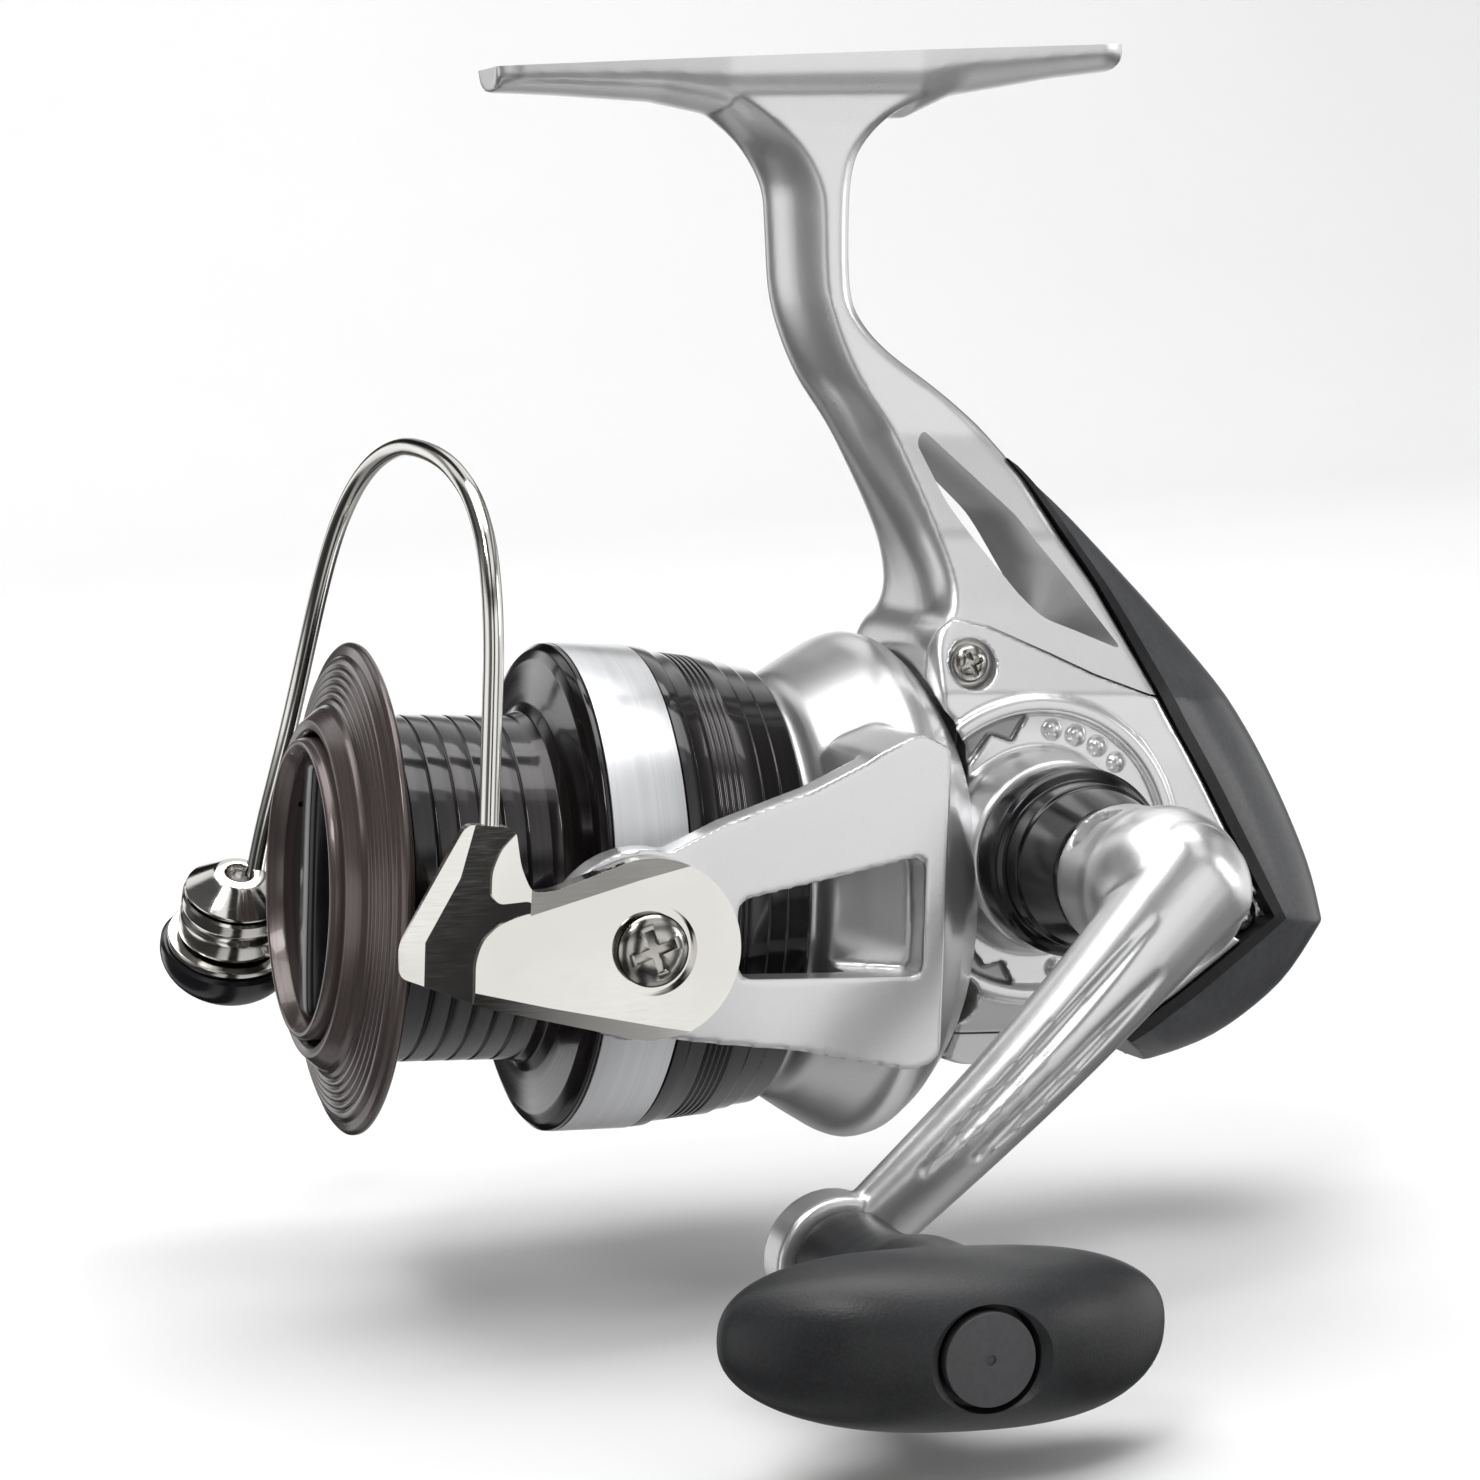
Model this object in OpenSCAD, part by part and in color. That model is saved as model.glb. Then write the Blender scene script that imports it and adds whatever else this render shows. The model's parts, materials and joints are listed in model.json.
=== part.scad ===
// Front-drag spinning reel with a folding bail and a cranked handle on one side.
// The reel is drawn around its spool axis: X runs along that axis towards the rear, Z up towards
// the foot and -Y towards the handle. One last move puts the origin on the foot's seating face.

/* [Foot and stem] */
// Length of the foot along the rod
foot_len = 65.6; // [60:0.2:68]
// Widest part of the foot
foot_w = 13; // [11:0.5:15]
// Angle between the foot's seat and the spool axis
seat_tilt = 5.3; // [3:0.1:7]
// Height of the seat above the spool axis
seat_h = 82.8; // [82:0.1:84]

/* [Spool] */
// Radius of the front flange
flange_r = 24; // [23.6:0.1:24.2]
// Radius of the drum that carries the line
drum_r = 17; // [16.6:0.1:17.4]
// Outer radius of the skirt at its front shoulder
skirt_r = 24.2; // [24:0.1:24.3]
// Forward travel of the spool
spool_stroke = 15; // [12:0.5:15]

/* [Gearing] */
// Teeth on the crown wheel that the handle turns
crown_teeth = 39; // [39:1:39]
// Teeth on the rotor's pinion
pinion_teeth = 8; // [8:1:8]
// Teeth on the small gear that drives the oscillation gear
feed_teeth = 13; // [13:1:13]
// Teeth on the oscillation gear
osc_teeth = 32; // [32:1:32]

/* [Handle] */
// Radius of the crank, from its axis to the knob's axis
crank_r = 46; // [44:0.5:48]
// Length of the knob's cross bar
knob_len = 40; // [36:0.5:42]

/* [Bail] */
// Diameter of the bail wire
wire_d = 1.9; // [1.6:0.1:1.9]
// Radius of the round end of the bail levers
lever_r = 8.5; // [8:0.1:8.8]

/* [Hidden] */

round_fn = 96;
fit = 0.05;

// Places on the reel, in the spool frame
foot_x = -22.4;
handle_z = 5.04;
crank_dir = [-0.6946, -0.7194];
knob_x = crank_r * crank_dir[0];
knob_z = handle_z + crank_r * crank_dir[1];
osc_x = 12.5;
pivot_x = -45.5;
pivot_z = -1.8;
stack_top = [-71.1, 31, -2.4];
stack_lean = 30;

// Widths of the casing, outwards from the spool axis
cover_y = -13.6;
split_y = -10;
far_y = 12.5;
core_y = 9.4;
boss_y = -20.4;

// Slider that moves the spool, and the rod that keeps it upright
slide_x = osc_x + spool_stroke / 2;
rod_y = -0.4;
rod_z = -5.2;

// Shafts
shaft_r = 1.5;
pinion_r = 3;
tube_r = 2.9;
bearing_r = 6.5;

silver = [0.78, 0.79, 0.81];
bright = [0.86, 0.86, 0.84];
steel = [0.62, 0.63, 0.65];
brass = [0.75, 0.62, 0.32];
charcoal = [0.2, 0.2, 0.21];
gunmetal = [0.28, 0.25, 0.25];
black = [0.06, 0.06, 0.07];

// ---------- placing ----------

module about_x(profile) rotate([0, 90, 0]) rotate_extrude($fn = round_fn) polygon(profile);

module cyl_x(r, x0, x1, fn = round_fn)
    translate([x0, 0, 0]) rotate([0, 90, 0]) cylinder(r = r, h = x1 - x0, $fn = fn);

module cyl_y(r, y0, y1, fn = round_fn)
    translate([0, y1, 0]) rotate([90, 0, 0]) cylinder(r = r, h = y1 - y0, $fn = fn);

module side(y0, y1) translate([0, y1, 0]) rotate([90, 0, 0]) linear_extrude(y1 - y0) children();

module front(x0, x1) translate([x0, 0, 0]) rotate([90, 0, 90]) linear_extrude(x1 - x0) children();

module about_handle(profile)
    translate([0, 0, handle_z]) rotate([90, 0, 0]) rotate_extrude($fn = round_fn) polygon(profile);

module on_handle() translate([0, 0, handle_z]) children();

module on_knob() translate([knob_x, 0, knob_z]) children();

module on_pivot() translate([pivot_x, 0, pivot_z]) children();

module on_stack() translate(stack_top) rotate([stack_lean, 0, 0]) children();

// The whole reel, moved so that the foot's seat is the XY plane
module seated() rotate([0, seat_tilt, 0]) translate([-foot_x, 0, -seat_h]) children();

// ---------- shared shapes ----------

function ring_points(n, r) = [for (i = [0:n - 1]) [r * cos(360 * i / n), r * sin(360 * i / n)]];

// Outline of a gear with straight-sided teeth that leave backlash at the pitch circle
module gear_outline(teeth, pitch_r, add, ded, share = 0.4) {
    step = 360 / teeth;
    polygon([for (i = [0:teeth - 1]) for (p = [
        [pitch_r - ded, -0.30], [pitch_r + add, -share / 4], [pitch_r + add, share / 4],
        [pitch_r - ded, 0.30]
    ]) [p[0] * cos((i + p[1]) * step), p[0] * sin((i + p[1]) * step)]]);
}

// Cross-headed screw, head up at z = 0, shank down
module screw(head_r, head_h, shank_r, shank_l) {
    slot = head_r * 0.28;
    difference() {
        union() {
            translate([0, 0, -head_h]) cylinder(r = head_r, h = head_h, $fn = 48);
            translate([0, 0, -head_h - shank_l]) cylinder(r = shank_r, h = shank_l + 0.1, $fn = 32);
        }
        for (a = [0, 90]) rotate([0, 0, a])
            translate([-head_r * 0.62, -slot / 2, -head_h * 0.7])
                cube([head_r * 1.24, slot, head_h]);
    }
}

// Skin over a list of closed rings of points, with flat ends
module skin(rings) {
    n = len(rings[0]);
    last = len(rings) - 1;
    points = [for (ring = rings) for (p = ring) p];
    walls = [for (k = [0:last - 1]) for (i = [0:n - 1])
        for (t = [[0, 1, n], [1, n + 1, n]])
            [for (s = t) (s >= n ? n * (k + 1) : n * k) + (i + (s % n == 1 || s == n + 1 ? 1 : 0)) % n]];
    polyhedron(points, concat([[for (i = [n - 1:-1:0]) i]], walls, [[for (i = [0:n - 1]) n * last + i]]));
}

function unit(v) = v / norm(v);

// Rings of a round wire about a path that never runs along Y for long
function wire_rings(path, r, sides) = [for (k = [0:len(path) - 1])
    let (a = path[max(k - 1, 0)], b = path[min(k + 1, len(path) - 1)],
         t = unit(b - a), u = unit(cross(t, [1, 0, 0])), v = cross(t, u))
    [for (i = [0:sides - 1]) path[k] + r * (u * cos(360 * i / sides) - v * sin(360 * i / sides))]];

// ---------- casing ----------

// Line where the side cover meets the frame, above, and the guard, behind
cover_top = [[-11.5, 27.9], [-8.5, 28], [-4.8, 27.2], [1.8, 24.5], [6.2, 22.6], [11.8, 20.7], [13.7, 20.2]];
guard_inner = [[1, 41.8], [8, 31.3], [13.7, 20.2], [18.7, 12], [24.2, 2.8], [27.2, -2.1], [11.2, -14.4]];
guard_outer = [[1.9, 42], [10.3, 33.6], [17.3, 26], [24, 17.4], [30, 8], [36.8, -3.5], [17.2, -18.2]];
stem_front = [
    [-33, 78], [-30.5, 76.3], [-28, 73.6], [-26.2, 70], [-25.4, 66], [-24.9, 60], [-23.7, 55.8],
    [-21.7, 51.3], [-18.8, 46.9], [-16, 42.5], [-13.3, 38], [-11.2, 34], [-10.2, 30.5], [-10.2, 28]
];
stem_back = [[-12.5, 79.5], [-15.8, 77.5], [-18, 74.5], [-18.8, 71], [-18.6, 60], [-17.3, 56.8],
    [-13.8, 54], [-8.2, 50.4], [-3.1, 46.5]];
window = [[-10.6, 46.3], [-11.2, 45], [-8, 39.4], [-4.2, 34.6], [-0.9, 30.5], [1.5, 28.1],
    [4.6, 26.9], [10.4, 24.8], [-0.4, 38.2]];

casing_side = concat(stem_front, [[-11.5, 26], [-11.5, -15.2], [-3, -16.6], [8, -17.4], [11.2, -14.4]],
    [for (i = [5:-1:0]) guard_inner[i]], [for (i = [len(stem_back) - 1:-1:0]) stem_back[i]],
    [[-12.5, 86], [-33, 86]]);

// Casing seen from the front: the leg is thin and swells into the housing
casing_half = [[6, 86], [4.8, 78], [4.4, 60], [5.2, 46], [7, 36], [9.8, 29], [13.3, 20.6], [13.6, 14],
    [13.6, -9.5], [12.8, -13.4], [10, -18]];
casing_front = concat(casing_half,
    [for (i = [len(casing_half) - 1:-1:0]) [-casing_half[i][0], casing_half[i][1]]]);

// Space behind the turning rotor, as [radius, x], that the casing and its cover stay out of
rotor_space = [[17.6, -30], [17.6, -7.7], [19.8, -7.7], [21.6, -8.9], [25.6, -13.5], [26.3, -16.2],
    [26.3, -30]];

// Inner part of the casing that runs back under the guard
core_side = [[1, 38.6], [8.6, 31], [15, 23.8], [21.4, 15.4], [27, 6.6], [33.6, -3.6], [17, -16],
    [4, -15.6], [4, 25]];
room_core = [[12.5, 23.5], [19.6, 14.6], [25.2, 5.8], [31, -3.6], [16.6, -14.2], [4, -14], [4, 20]];
room_near = [[-9.4, 12.6], [-5.4, 13.2], [-5.2, 24.8], [1.2, 22.2], [6, 20.2], [12, 18], [16.2, 11],
    [20.6, 2.2], [21.6, -1], [10.2, -12.6], [-5.4, -12.6], [-9.4, -11.6]];

dial_clip = [[-10.8, 26], [30, 26], [30, -12.6], [-10.8, -12.6]];

cover_side = concat(cover_top, [for (i = [3:5]) guard_inner[i]], [[11.9, -13.4], [-11.5, -13.4]]);

module casing_block() intersection() {
    side(-14, 14) polygon(casing_side);
    front(-40, 40) polygon(casing_front);
}

module foot_blank() translate([foot_x, 0, seat_h]) rotate([0, -seat_tilt, 0]) {
    half = foot_len / 2;
    under = [[-half, 0], [half, 0], [half, -2], [half - 8, -2.4], [14, -3.6], [8, -6], [-8, -6],
        [-14, -4.6], [-half + 16, -3], [-half + 6, -2.2], [-half, -1.8]];
    plan = [[-half, 3], [-half, -3], [-half + 1.5, -4], [-12, -foot_w / 2], [12, -foot_w / 2],
        [half - 1.5, -4], [half, -3], [half, 3], [half - 1.5, 4], [12, foot_w / 2], [-12, foot_w / 2],
        [-half + 1.5, 4]];
    intersection() {
        side(-foot_w, foot_w) polygon(under);
        translate([0, 0, -10]) linear_extrude(10) polygon(plan);
        translate([-half - 1, 0, 3.4]) rotate([0, 90, 0])
            cylinder(r = foot_w * 0.82, h = foot_len + 2, $fn = 64);
    }
}

// Outer form of the casing
module casing_solid() difference() {
    union() {
        foot_blank();
        casing_block();
        intersection() {
            side(-core_y, core_y) polygon(core_side);
            front(-40, 40) polygon(casing_front);
        }
        cyl_x(15.5, -20.5, -11.5);
    }
    about_x(rotor_space);
}

module body_frame() color(silver) {
    bearing_wall = 8.5;
    far_boss = far_y + 1.3;
    difference() {
        casing_solid();
        // seat, window and the cover's opening
        translate([foot_x, 0, seat_h]) rotate([0, -seat_tilt, 0])
            translate([-60, -20, 0]) cube([120, 40, 20]);
        side(-15, 15) polygon(window);
        side(-15, split_y) polygon(cover_side);
        // room for the gears
        side(split_y - 1, far_y - 1.7) polygon(room_near);
        side(-core_y + 1.6, core_y - 1.6) polygon(room_core);
        difference() {
            cyl_x(13.7, -18.7, -9);
            cyl_x(bearing_wall, -19, -13.7);
        }
        cyl_x(bearing_r, -21, -13);
        on_handle() cyl_y(13.6, -6.2, -1);
        on_handle() cyl_y(8.2, 8.5, far_boss + 1);
        for (hole = screw_spots) translate([hole[0], 0, hole[1]]) cyl_y(1.1, split_y - 1, -3, 32);
        translate([guard_hole[0], 0, guard_hole[1]]) cyl_y(0.85, 7, 12, 32);
    }
    // far bearing boss and gear axle boss
    on_handle() difference() {
        cyl_y(8.4, 8.6, far_boss);
        cyl_y(bearing_r, 8.5, 11.9);
        cyl_y(4.2, 8.5, far_boss + 0.7);
    }
    difference() {
        translate([osc_x, 0, 0]) cyl_y(3, 8, far_y - 1.6);
        translate([osc_x, 0, 0]) cyl_y(1.5, 7, far_y - 1.6);
    }
    for (hole = screw_spots) difference() {
        translate([hole[0], 0, hole[1]]) cyl_y(2.6, split_y + 0.1, -3.6);
        translate([hole[0], 0, hole[1]]) cyl_y(1.1, split_y, -3, 32);
    }
    // two ears that carry the slider's guide rod
    for (ear = [[0.6, -13.2], [24.2, -9]]) difference() {
        translate([ear[0], rod_y - 1.3, ear[1]]) cube([1.6, 2.6, rod_z + 1.5 - ear[1]]);
        translate([0, rod_y, rod_z]) cyl_x(0.98, ear[0] - 1, ear[0] + 3, 32);
    }
}

screw_spots = [[-6.9, 23.4], [24, -2], [-8.2, -10]];
guard_hole = [26.4, 3.5];
dart_up = [[13.9, 95], [11.1, 105], [12.6, 114.5], [11.2, 133], [12.7, 140], [13.9, 142]];
dart_down = [[13.9, -97], [11.5, -105], [12.6, -113], [11.2, -135], [12.7, -142], [13.9, -144]];

module side_cover() color(silver) {
    dial_r = 13.8;
    difference() {
        union() {
            intersection() {
                side(cover_y - 1, split_y - 0.02) polygon(cover_side);
                front(-40, 40) polygon(casing_front);
            }
            intersection() {
                on_handle() difference() {
                    cyl_y(15.2, cover_y - 0.45, cover_y + 0.6);
                    cyl_y(dial_r, cover_y - 1, cover_y + 1);
                }
                side(cover_y - 1, cover_y + 1) polygon(dial_clip);
            }
            about_handle([[0, 12], [10.2, 12], [10.2, 14], [9.9, 15], [9.6, -boss_y - 0.3], [9.3, -boss_y],
                [0, -boss_y]]);
            for (a = [82, 72, 62, 51, -78, -67]) on_handle() rotate([0, -a, 0])
                translate([12.1, 0, 0]) cyl_y(0.75, cover_y - 0.35, cover_y + 0.4, 24);
        }
        about_x(rotor_space);
        difference() {
            side(cover_y + 1.6, split_y + 1) polygon(room_near);
            on_handle() cyl_y(9.2, cover_y, 0);
            for (hole = screw_spots) translate([hole[0], 0, hole[1]]) cyl_y(2.9, cover_y, 0, 48);
        }
        // bearing seat and shaft hole
        on_handle() cyl_y(bearing_r, -19.2, 0);
        on_handle() cyl_y(4.6, boss_y - 1, 0);
        // sunk seats and clear holes for the screws
        for (hole = screw_spots) translate([hole[0], 0, hole[1]]) {
            cyl_y(2.3, cover_y - 1, cover_y + 2.4, 48);
            cyl_y(1.3, cover_y - 1, split_y + 1, 32);
        }
        // shallow darts pressed into the dial
        for (outline = [dart_up, dart_down]) on_handle() side(cover_y - 0.2, cover_y + 0.3)
            polygon([for (p = outline) p[0] * [cos(p[1]), sin(p[1])]]);
    }
}

module rear_guard() color(charcoal) {
    n = len(guard_inner);
    rings = [for (k = [0:n - 1])
        let (p = guard_inner[k], q = guard_outer[k], m = p * 0.42 + q * 0.58, h = interp_half(p[1]))
        [[p[0], -h, p[1]], [m[0], -h * 0.78, m[1]], [q[0], -h * 0.34, q[1]],
         [q[0], h * 0.34, q[1]], [m[0], h * 0.78, m[1]], [p[0], h, p[1]]]];
    difference() {
        skin(rings);
        side(-core_y - fit, core_y + fit) polygon(core_side);
        translate([guard_hole[0], 0, guard_hole[1]]) {
            cyl_y(0.9, core_y, core_y + 3, 32);
            cyl_y(1.65, core_y + 1, core_y + 6, 32);
        }
    }
}

// Half width of the casing at a height
function interp_half(z) = lookup(z, [for (i = [10:-1:2]) [casing_half[i][1], casing_half[i][0]]]);

module cover_screws() color(steel) for (hole = screw_spots)
    translate([hole[0], cover_y + 1, hole[1]]) rotate([90, 20, 0]) screw(2, 1.3, 1.05, 6.8);

module guard_screw() color(steel)
    translate([guard_hole[0], core_y + 2.1, guard_hole[1]]) rotate([-90, 0, 0]) screw(1.6, 1, 0.8, 2.6);

// ---------- gear train ----------

mesh_x = -11.2;
pinion_pitch = -mesh_x * pinion_teeth / crown_teeth;
tooth_tip = pinion_pitch + 0.35;

module drive_gear() color(brass) {
    rib = [1.9, 0.8, 0.5];
    difference() {
        union() {
            on_handle() cyl_y(13.1, -4.9, -2.9);
            on_handle() cyl_y(tube_r, -19, 11.7);
            on_handle() cyl_y(5, -7.4, -2.9);
            for (i = [0:crown_teeth - 1]) on_handle() rotate([0, (i + 0.5) * 360 / crown_teeth, 0])
                translate([mesh_x - rib[0] / 2, -2.95, -handle_z - rib[2] / 2]) cube(rib);
        }
        on_handle() cyl_y(2.05, -20, 13, 6);
        for (a = [0:60:300]) on_handle() rotate([0, a, 0]) translate([8, 0, 0]) cyl_y(1.6, -6, -2, 32);
    }
}

module bearing_ring(inner, outer, width) rotate_extrude($fn = round_fn) polygon([
    [inner, 0], [inner + 0.8, 0], [inner + 0.8, 0.3], [outer - 0.9, 0.3], [outer - 0.9, 0], [outer, 0],
    [outer, width], [outer - 0.9, width], [outer - 0.9, width - 0.3], [inner + 0.8, width - 0.3],
    [inner + 0.8, width], [inner, width]
]);

module drive_bearing_near() color(steel)
    on_handle() translate([0, -15.9, 0]) rotate([90, 0, 0])
        bearing_ring(tube_r + fit, bearing_r - 0.02, 3.1);

module drive_bearing_far() color(steel)
    on_handle() translate([0, 11.8, 0]) rotate([90, 0, 0])
        bearing_ring(tube_r + fit, bearing_r - 0.02, 3.1);

centre_dist = norm([osc_x, handle_z]);
feed_pitch = centre_dist * feed_teeth / (feed_teeth + osc_teeth);
osc_pitch = centre_dist - feed_pitch;
osc_lean = atan2(-handle_z, osc_x);

module feed_gear() color(steel) on_handle() difference() {
    side(5, 7.2) rotate(osc_lean) gear_outline(feed_teeth, feed_pitch, 0.4, 0.75);
    cyl_y(tube_r + 0.02, 4, 8);
}

module oscillation_gear() color(brass) translate([osc_x, 0, 0]) {
    difference() {
        side(5, 7.2) rotate(osc_lean + 180 + 180 / osc_teeth) gear_outline(osc_teeth, osc_pitch, 0.4, 0.75);
        cyl_y(1.2 + fit, 4, 8);
        for (a = [60:60:300]) rotate([0, a, 0]) translate([5.2, 0, 0]) cyl_y(1.4, 4, 8, 32);
    }
    translate([spool_stroke / 2, 0, 0]) cyl_y(0.9, 4, 5.1, 32);
}

module oscillation_axle() color(steel) translate([osc_x, 0, 0]) {
    cyl_y(1.2, 4.6, 10);
    cyl_y(1.45, 7.5, 10.7);
    cyl_y(2, 4.1, 4.7);
}

module oscillation_slider() color(steel) difference() {
    union() {
        translate([slide_x - 1.7, -1.75, -3.6]) cube([4.2, 5.3, 7.2]);
        translate([slide_x - 1.7, -1.75, -6.7]) cube([4.2, 2.7, 4]);
        translate([slide_x - 1.7, 2, -9.6]) cube([3.4, 1.6, 19.2]);
    }
    cyl_x(shaft_r + 0.02, 10, 30);
    translate([slide_x - 1, 1, -8.6]) cube([2, 4, 4.6]);
    translate([slide_x - 1, 1, 4]) cube([2, 4, 4.6]);
    translate([slide_x - 1, 2.6, -5]) cube([2, 4, 10]);
    translate([0, rod_y, rod_z]) cyl_x(0.97 + fit, 10, 30, 32);
    translate([slide_x, 0, 0]) cyl_y(0.75, 0, 4, 32);
    translate([slide_x, 0, 0]) cyl_y(0.94, 1.9, 4, 32);
}

module slider_screw() color(steel) translate([slide_x, 2.55, 0]) rotate([-90, 0, 0])
    screw(0.9, 0.5, 0.7, 0.5);

module guide_rod() color(steel) translate([0, rod_y, rod_z]) cyl_x(0.97, 0.7, 25.7, 32);

module pinion_gear() color(brass) difference() {
    union() {
        cyl_x(pinion_r, -30.6, -13.1);
        translate([-13.2, 0, 0]) rotate([0, 90, 0]) rotate(180 / 2)
            linear_extrude(3.8) pinion_outline();
    }
    cyl_x(shaft_r + fit, -32, -8);
}

// Narrow teeth that stand in the gaps of the crown wheel's ribs
module pinion_outline() {
    root = pinion_pitch - 0.35;
    circle(r = root, $fn = 48);
    for (i = [0:pinion_teeth - 1]) rotate(i * 360 / pinion_teeth)
        translate([root - 0.3, -0.27]) square([tooth_tip - root + 0.3, 0.54]);
}

module pinion_bearing() color(steel)
    translate([-20.4, 0, 0]) rotate([0, 90, 0]) bearing_ring(pinion_r + fit, bearing_r - 0.02, 3.4);

module oneway_clutch() color(steel) translate([-16.8, 0, 0]) rotate([0, 90, 0]) difference() {
    rotate_extrude($fn = round_fn) polygon([[pinion_r + fit, 0], [bearing_r - 0.02, 0],
        [bearing_r - 0.02, 3], [pinion_r + fit, 3]]);
    for (a = [0:60:300]) rotate([0, 0, a]) translate([4.7, 0, 1]) cylinder(r = 0.8, h = 3, $fn = 24);
}

module main_shaft() color(steel) difference() {
    cyl_x(shaft_r, -65, 24);
    translate([slide_x, 0, 0]) cyl_y(0.72, -0.5, 3, 32);
}

module rotor_seal_ring() color(black)
    about_x([[15.52, -12.2], [16.1, -12.2], [16.1, -14.5], [15.52, -14.5]]);

// ---------- rotor ----------

rotor_skin = [[0, -27.5], [7, -27.5], [7, -24.2], [17.8, -24.2], [17.8, -44], [19.6, -44], [19.6, -25],
    [21.3, -24], [25.2, -17.6], [25.7, -16.2], [25.2, -14], [21.2, -9.6], [19.4, -8.3], [0, -8.3]];
rotor_room = [[0, -21.5], [18.4, -21.5], [22.6, -17.2], [22.7, -15.4], [19.9, -11.7], [18.3, -9.8],
    [18.2, -6], [0, -6]];
arm_in = 25;
arm_out = 28.6;
arm_side = [[-15.6, 16.4], [-18.8, 18.1], [-23.9, 15.4], [-29.5, 12.6], [-37.9, 9.5], [-43, 6.9],
    [-46, 4], [-46, -6], [-44, -10.6], [-37.2, -11.3], [-30.1, -12], [-18.1, -14.3], [-15.6, -13]];
arm_window = [[-28.4, 4], [-17.8, 6.4], [-17.6, -5.1], [-36, -5.1], [-36.4, 2.2]];

module rotor() color(silver) difference() {
    union() {
        about_x(rotor_skin);
        for (s = [0, 1]) mirror([0, s, 0]) {
            side(-arm_out, -arm_in) union() {
                polygon(arm_side);
                translate([pivot_x, pivot_z]) circle(r = 9, $fn = round_fn);
            }
            intersection() {
                side(-arm_out, -15) polygon(arm_side);
                translate([-24.4, -40, -30]) cube([10, 40, 60]);
            }
        }
    }
    about_x(rotor_room);
    cyl_x(pinion_r + fit, -40, 0);
    for (s = [0, 1]) mirror([0, s, 0]) {
        side(-30, -20.4) polygon(arm_window);
        on_pivot() cyl_y(2.2 + 0.02, -30, -24);
        // pocket behind the pivot for the bail spring
        on_pivot() difference() {
            cyl_y(6.2, -27.4, -24);
            cyl_y(3.2, -28, -23);
        }
    }
}

module rotor_nut() color(brass) difference() {
    translate([-30.5, 0, 0]) rotate([0, 90, 0]) cylinder(r = 6, h = 2.9, $fn = 6);
    cyl_x(pinion_r + 0.02, -32, -27);
}

module bail_spring() color(steel) on_pivot() rotate([90, 0, 0])
    for (k = [0:2]) translate([0, 0, 25.3 + 0.75 * k]) rotate_extrude($fn = 48)
        translate([4.7, 0]) circle(r = 0.35, $fn = 16);

// ---------- bail ----------

lever_in = 28.9;
lever_out = 31.5;
wire_x = -61;
wire_y = -30.2;

module bail_holder() color(bright) difference() {
    union() {
        on_pivot() cyl_y(lever_r, -lever_out, -lever_in);
        side(-lever_out, -lever_in) polygon([[-63.2, 9.8], [-58.9, 9.6], [-57.9, 3.3], [-53, 5.2],
            [-47.5, 6], [-45, -4], [-47, -10], [-61, -7], [-67.2, -4.8], [-68.8, -4.3], [-68.9, -1.3]]);
    }
    on_pivot() {
        cyl_y(2.2 + fit, -33, -28);
        cyl_y(4.4, -33, -30.6);
    }
    translate([wire_x, wire_y, 3]) cylinder(r = wire_d / 2 + 0.02, h = 10, $fn = 32);
}

module bail_screw() on_pivot() translate([0, -32.1, 0]) rotate([90, 0, 0]) {
    difference() {
        union() {
            translate([0, 0, -1.4]) rotate_extrude($fn = 64)
                polygon([[0, 0], [4.1, 0], [4.1, 0.7], [3.6, 1.15], [2.4, 1.4], [0, 1.4]]);
            translate([0, 0, -6.6]) cylinder(r = 2.2, h = 5.4, $fn = 64);
        }
        for (a = [20, 110]) rotate([0, 0, a]) translate([-2.6, -0.55, -0.7]) cube([5.2, 1.1, 2]);
    }
}

module bail_screw_near() color(bright) bail_screw();

module bail_screw_far() color(bright) mirror([0, 1, 0]) bail_screw();

module roller_arm() color(bright) {
    difference() {
        union() {
            on_pivot() cyl_y(lever_r, lever_in, lever_out);
            side(lever_in, lever_out) polygon([[-47.5, 5.5], [-63, -9.5], [-64.2, -13.5], [-62.4, -17.2],
                [-57, -17], [-43.6, -9.4], [-44, -2]]);
            on_stack() hull() for (end = [[4.4, -2, 3.2], [9.9, -4.4, 2.2]])
                translate([end[0], end[1], -9.1]) cylinder(r = end[2], h = 1.8, $fn = 32);
            on_stack() translate([0, 0, -9.2]) cylinder(r = 6.6, h = 0.8, $fn = round_fn);
        }
        on_pivot() {
            cyl_y(2.2 + fit, 28, 33);
            cyl_y(4.4, 30.6, 33);
        }
        on_stack() translate([0, 0, -12]) cylinder(r = 1.5, h = 20, $fn = 48);
        on_stack() translate([0, 0, -8.4]) cylinder(r = 6.4, h = 12, $fn = round_fn);
    }
}

wire_path = [
    [-61, -30.2, 3.4], [-61, -30.2, 9.5], [-61, -30.2, 15], [-61, -30.15, 20.5], [-61.05, -30, 26],
    [-61.2, -29.2, 31], [-61.4, -27.4, 35.3],
    [-61.7, -24, 38.8], [-62, -19.4, 41], [-62.2, -14, 42.3], [-62.4, -7.5, 43],
    [-62.6, -1, 43.1], [-62.9, 5, 42.3], [-63.2, 10.6, 40.7], [-63.5, 15.6, 38.3], [-63.8, 20.2, 35],
    [-64, 24, 31.3], [-64.2, 27.4, 27], [-64.5, 30.1, 22.4], [-65, 32, 17.6], [-65.8, 33, 12.6],
    [-66.9, 33.2, 7.6], [-68, 33, 3], [-68.8, 32.6, -0.6], [-69.3, 32.2, -3.2]
];

module bail_wire() color(bright) skin(wire_rings(wire_path, wire_d / 2, 12));

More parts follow.
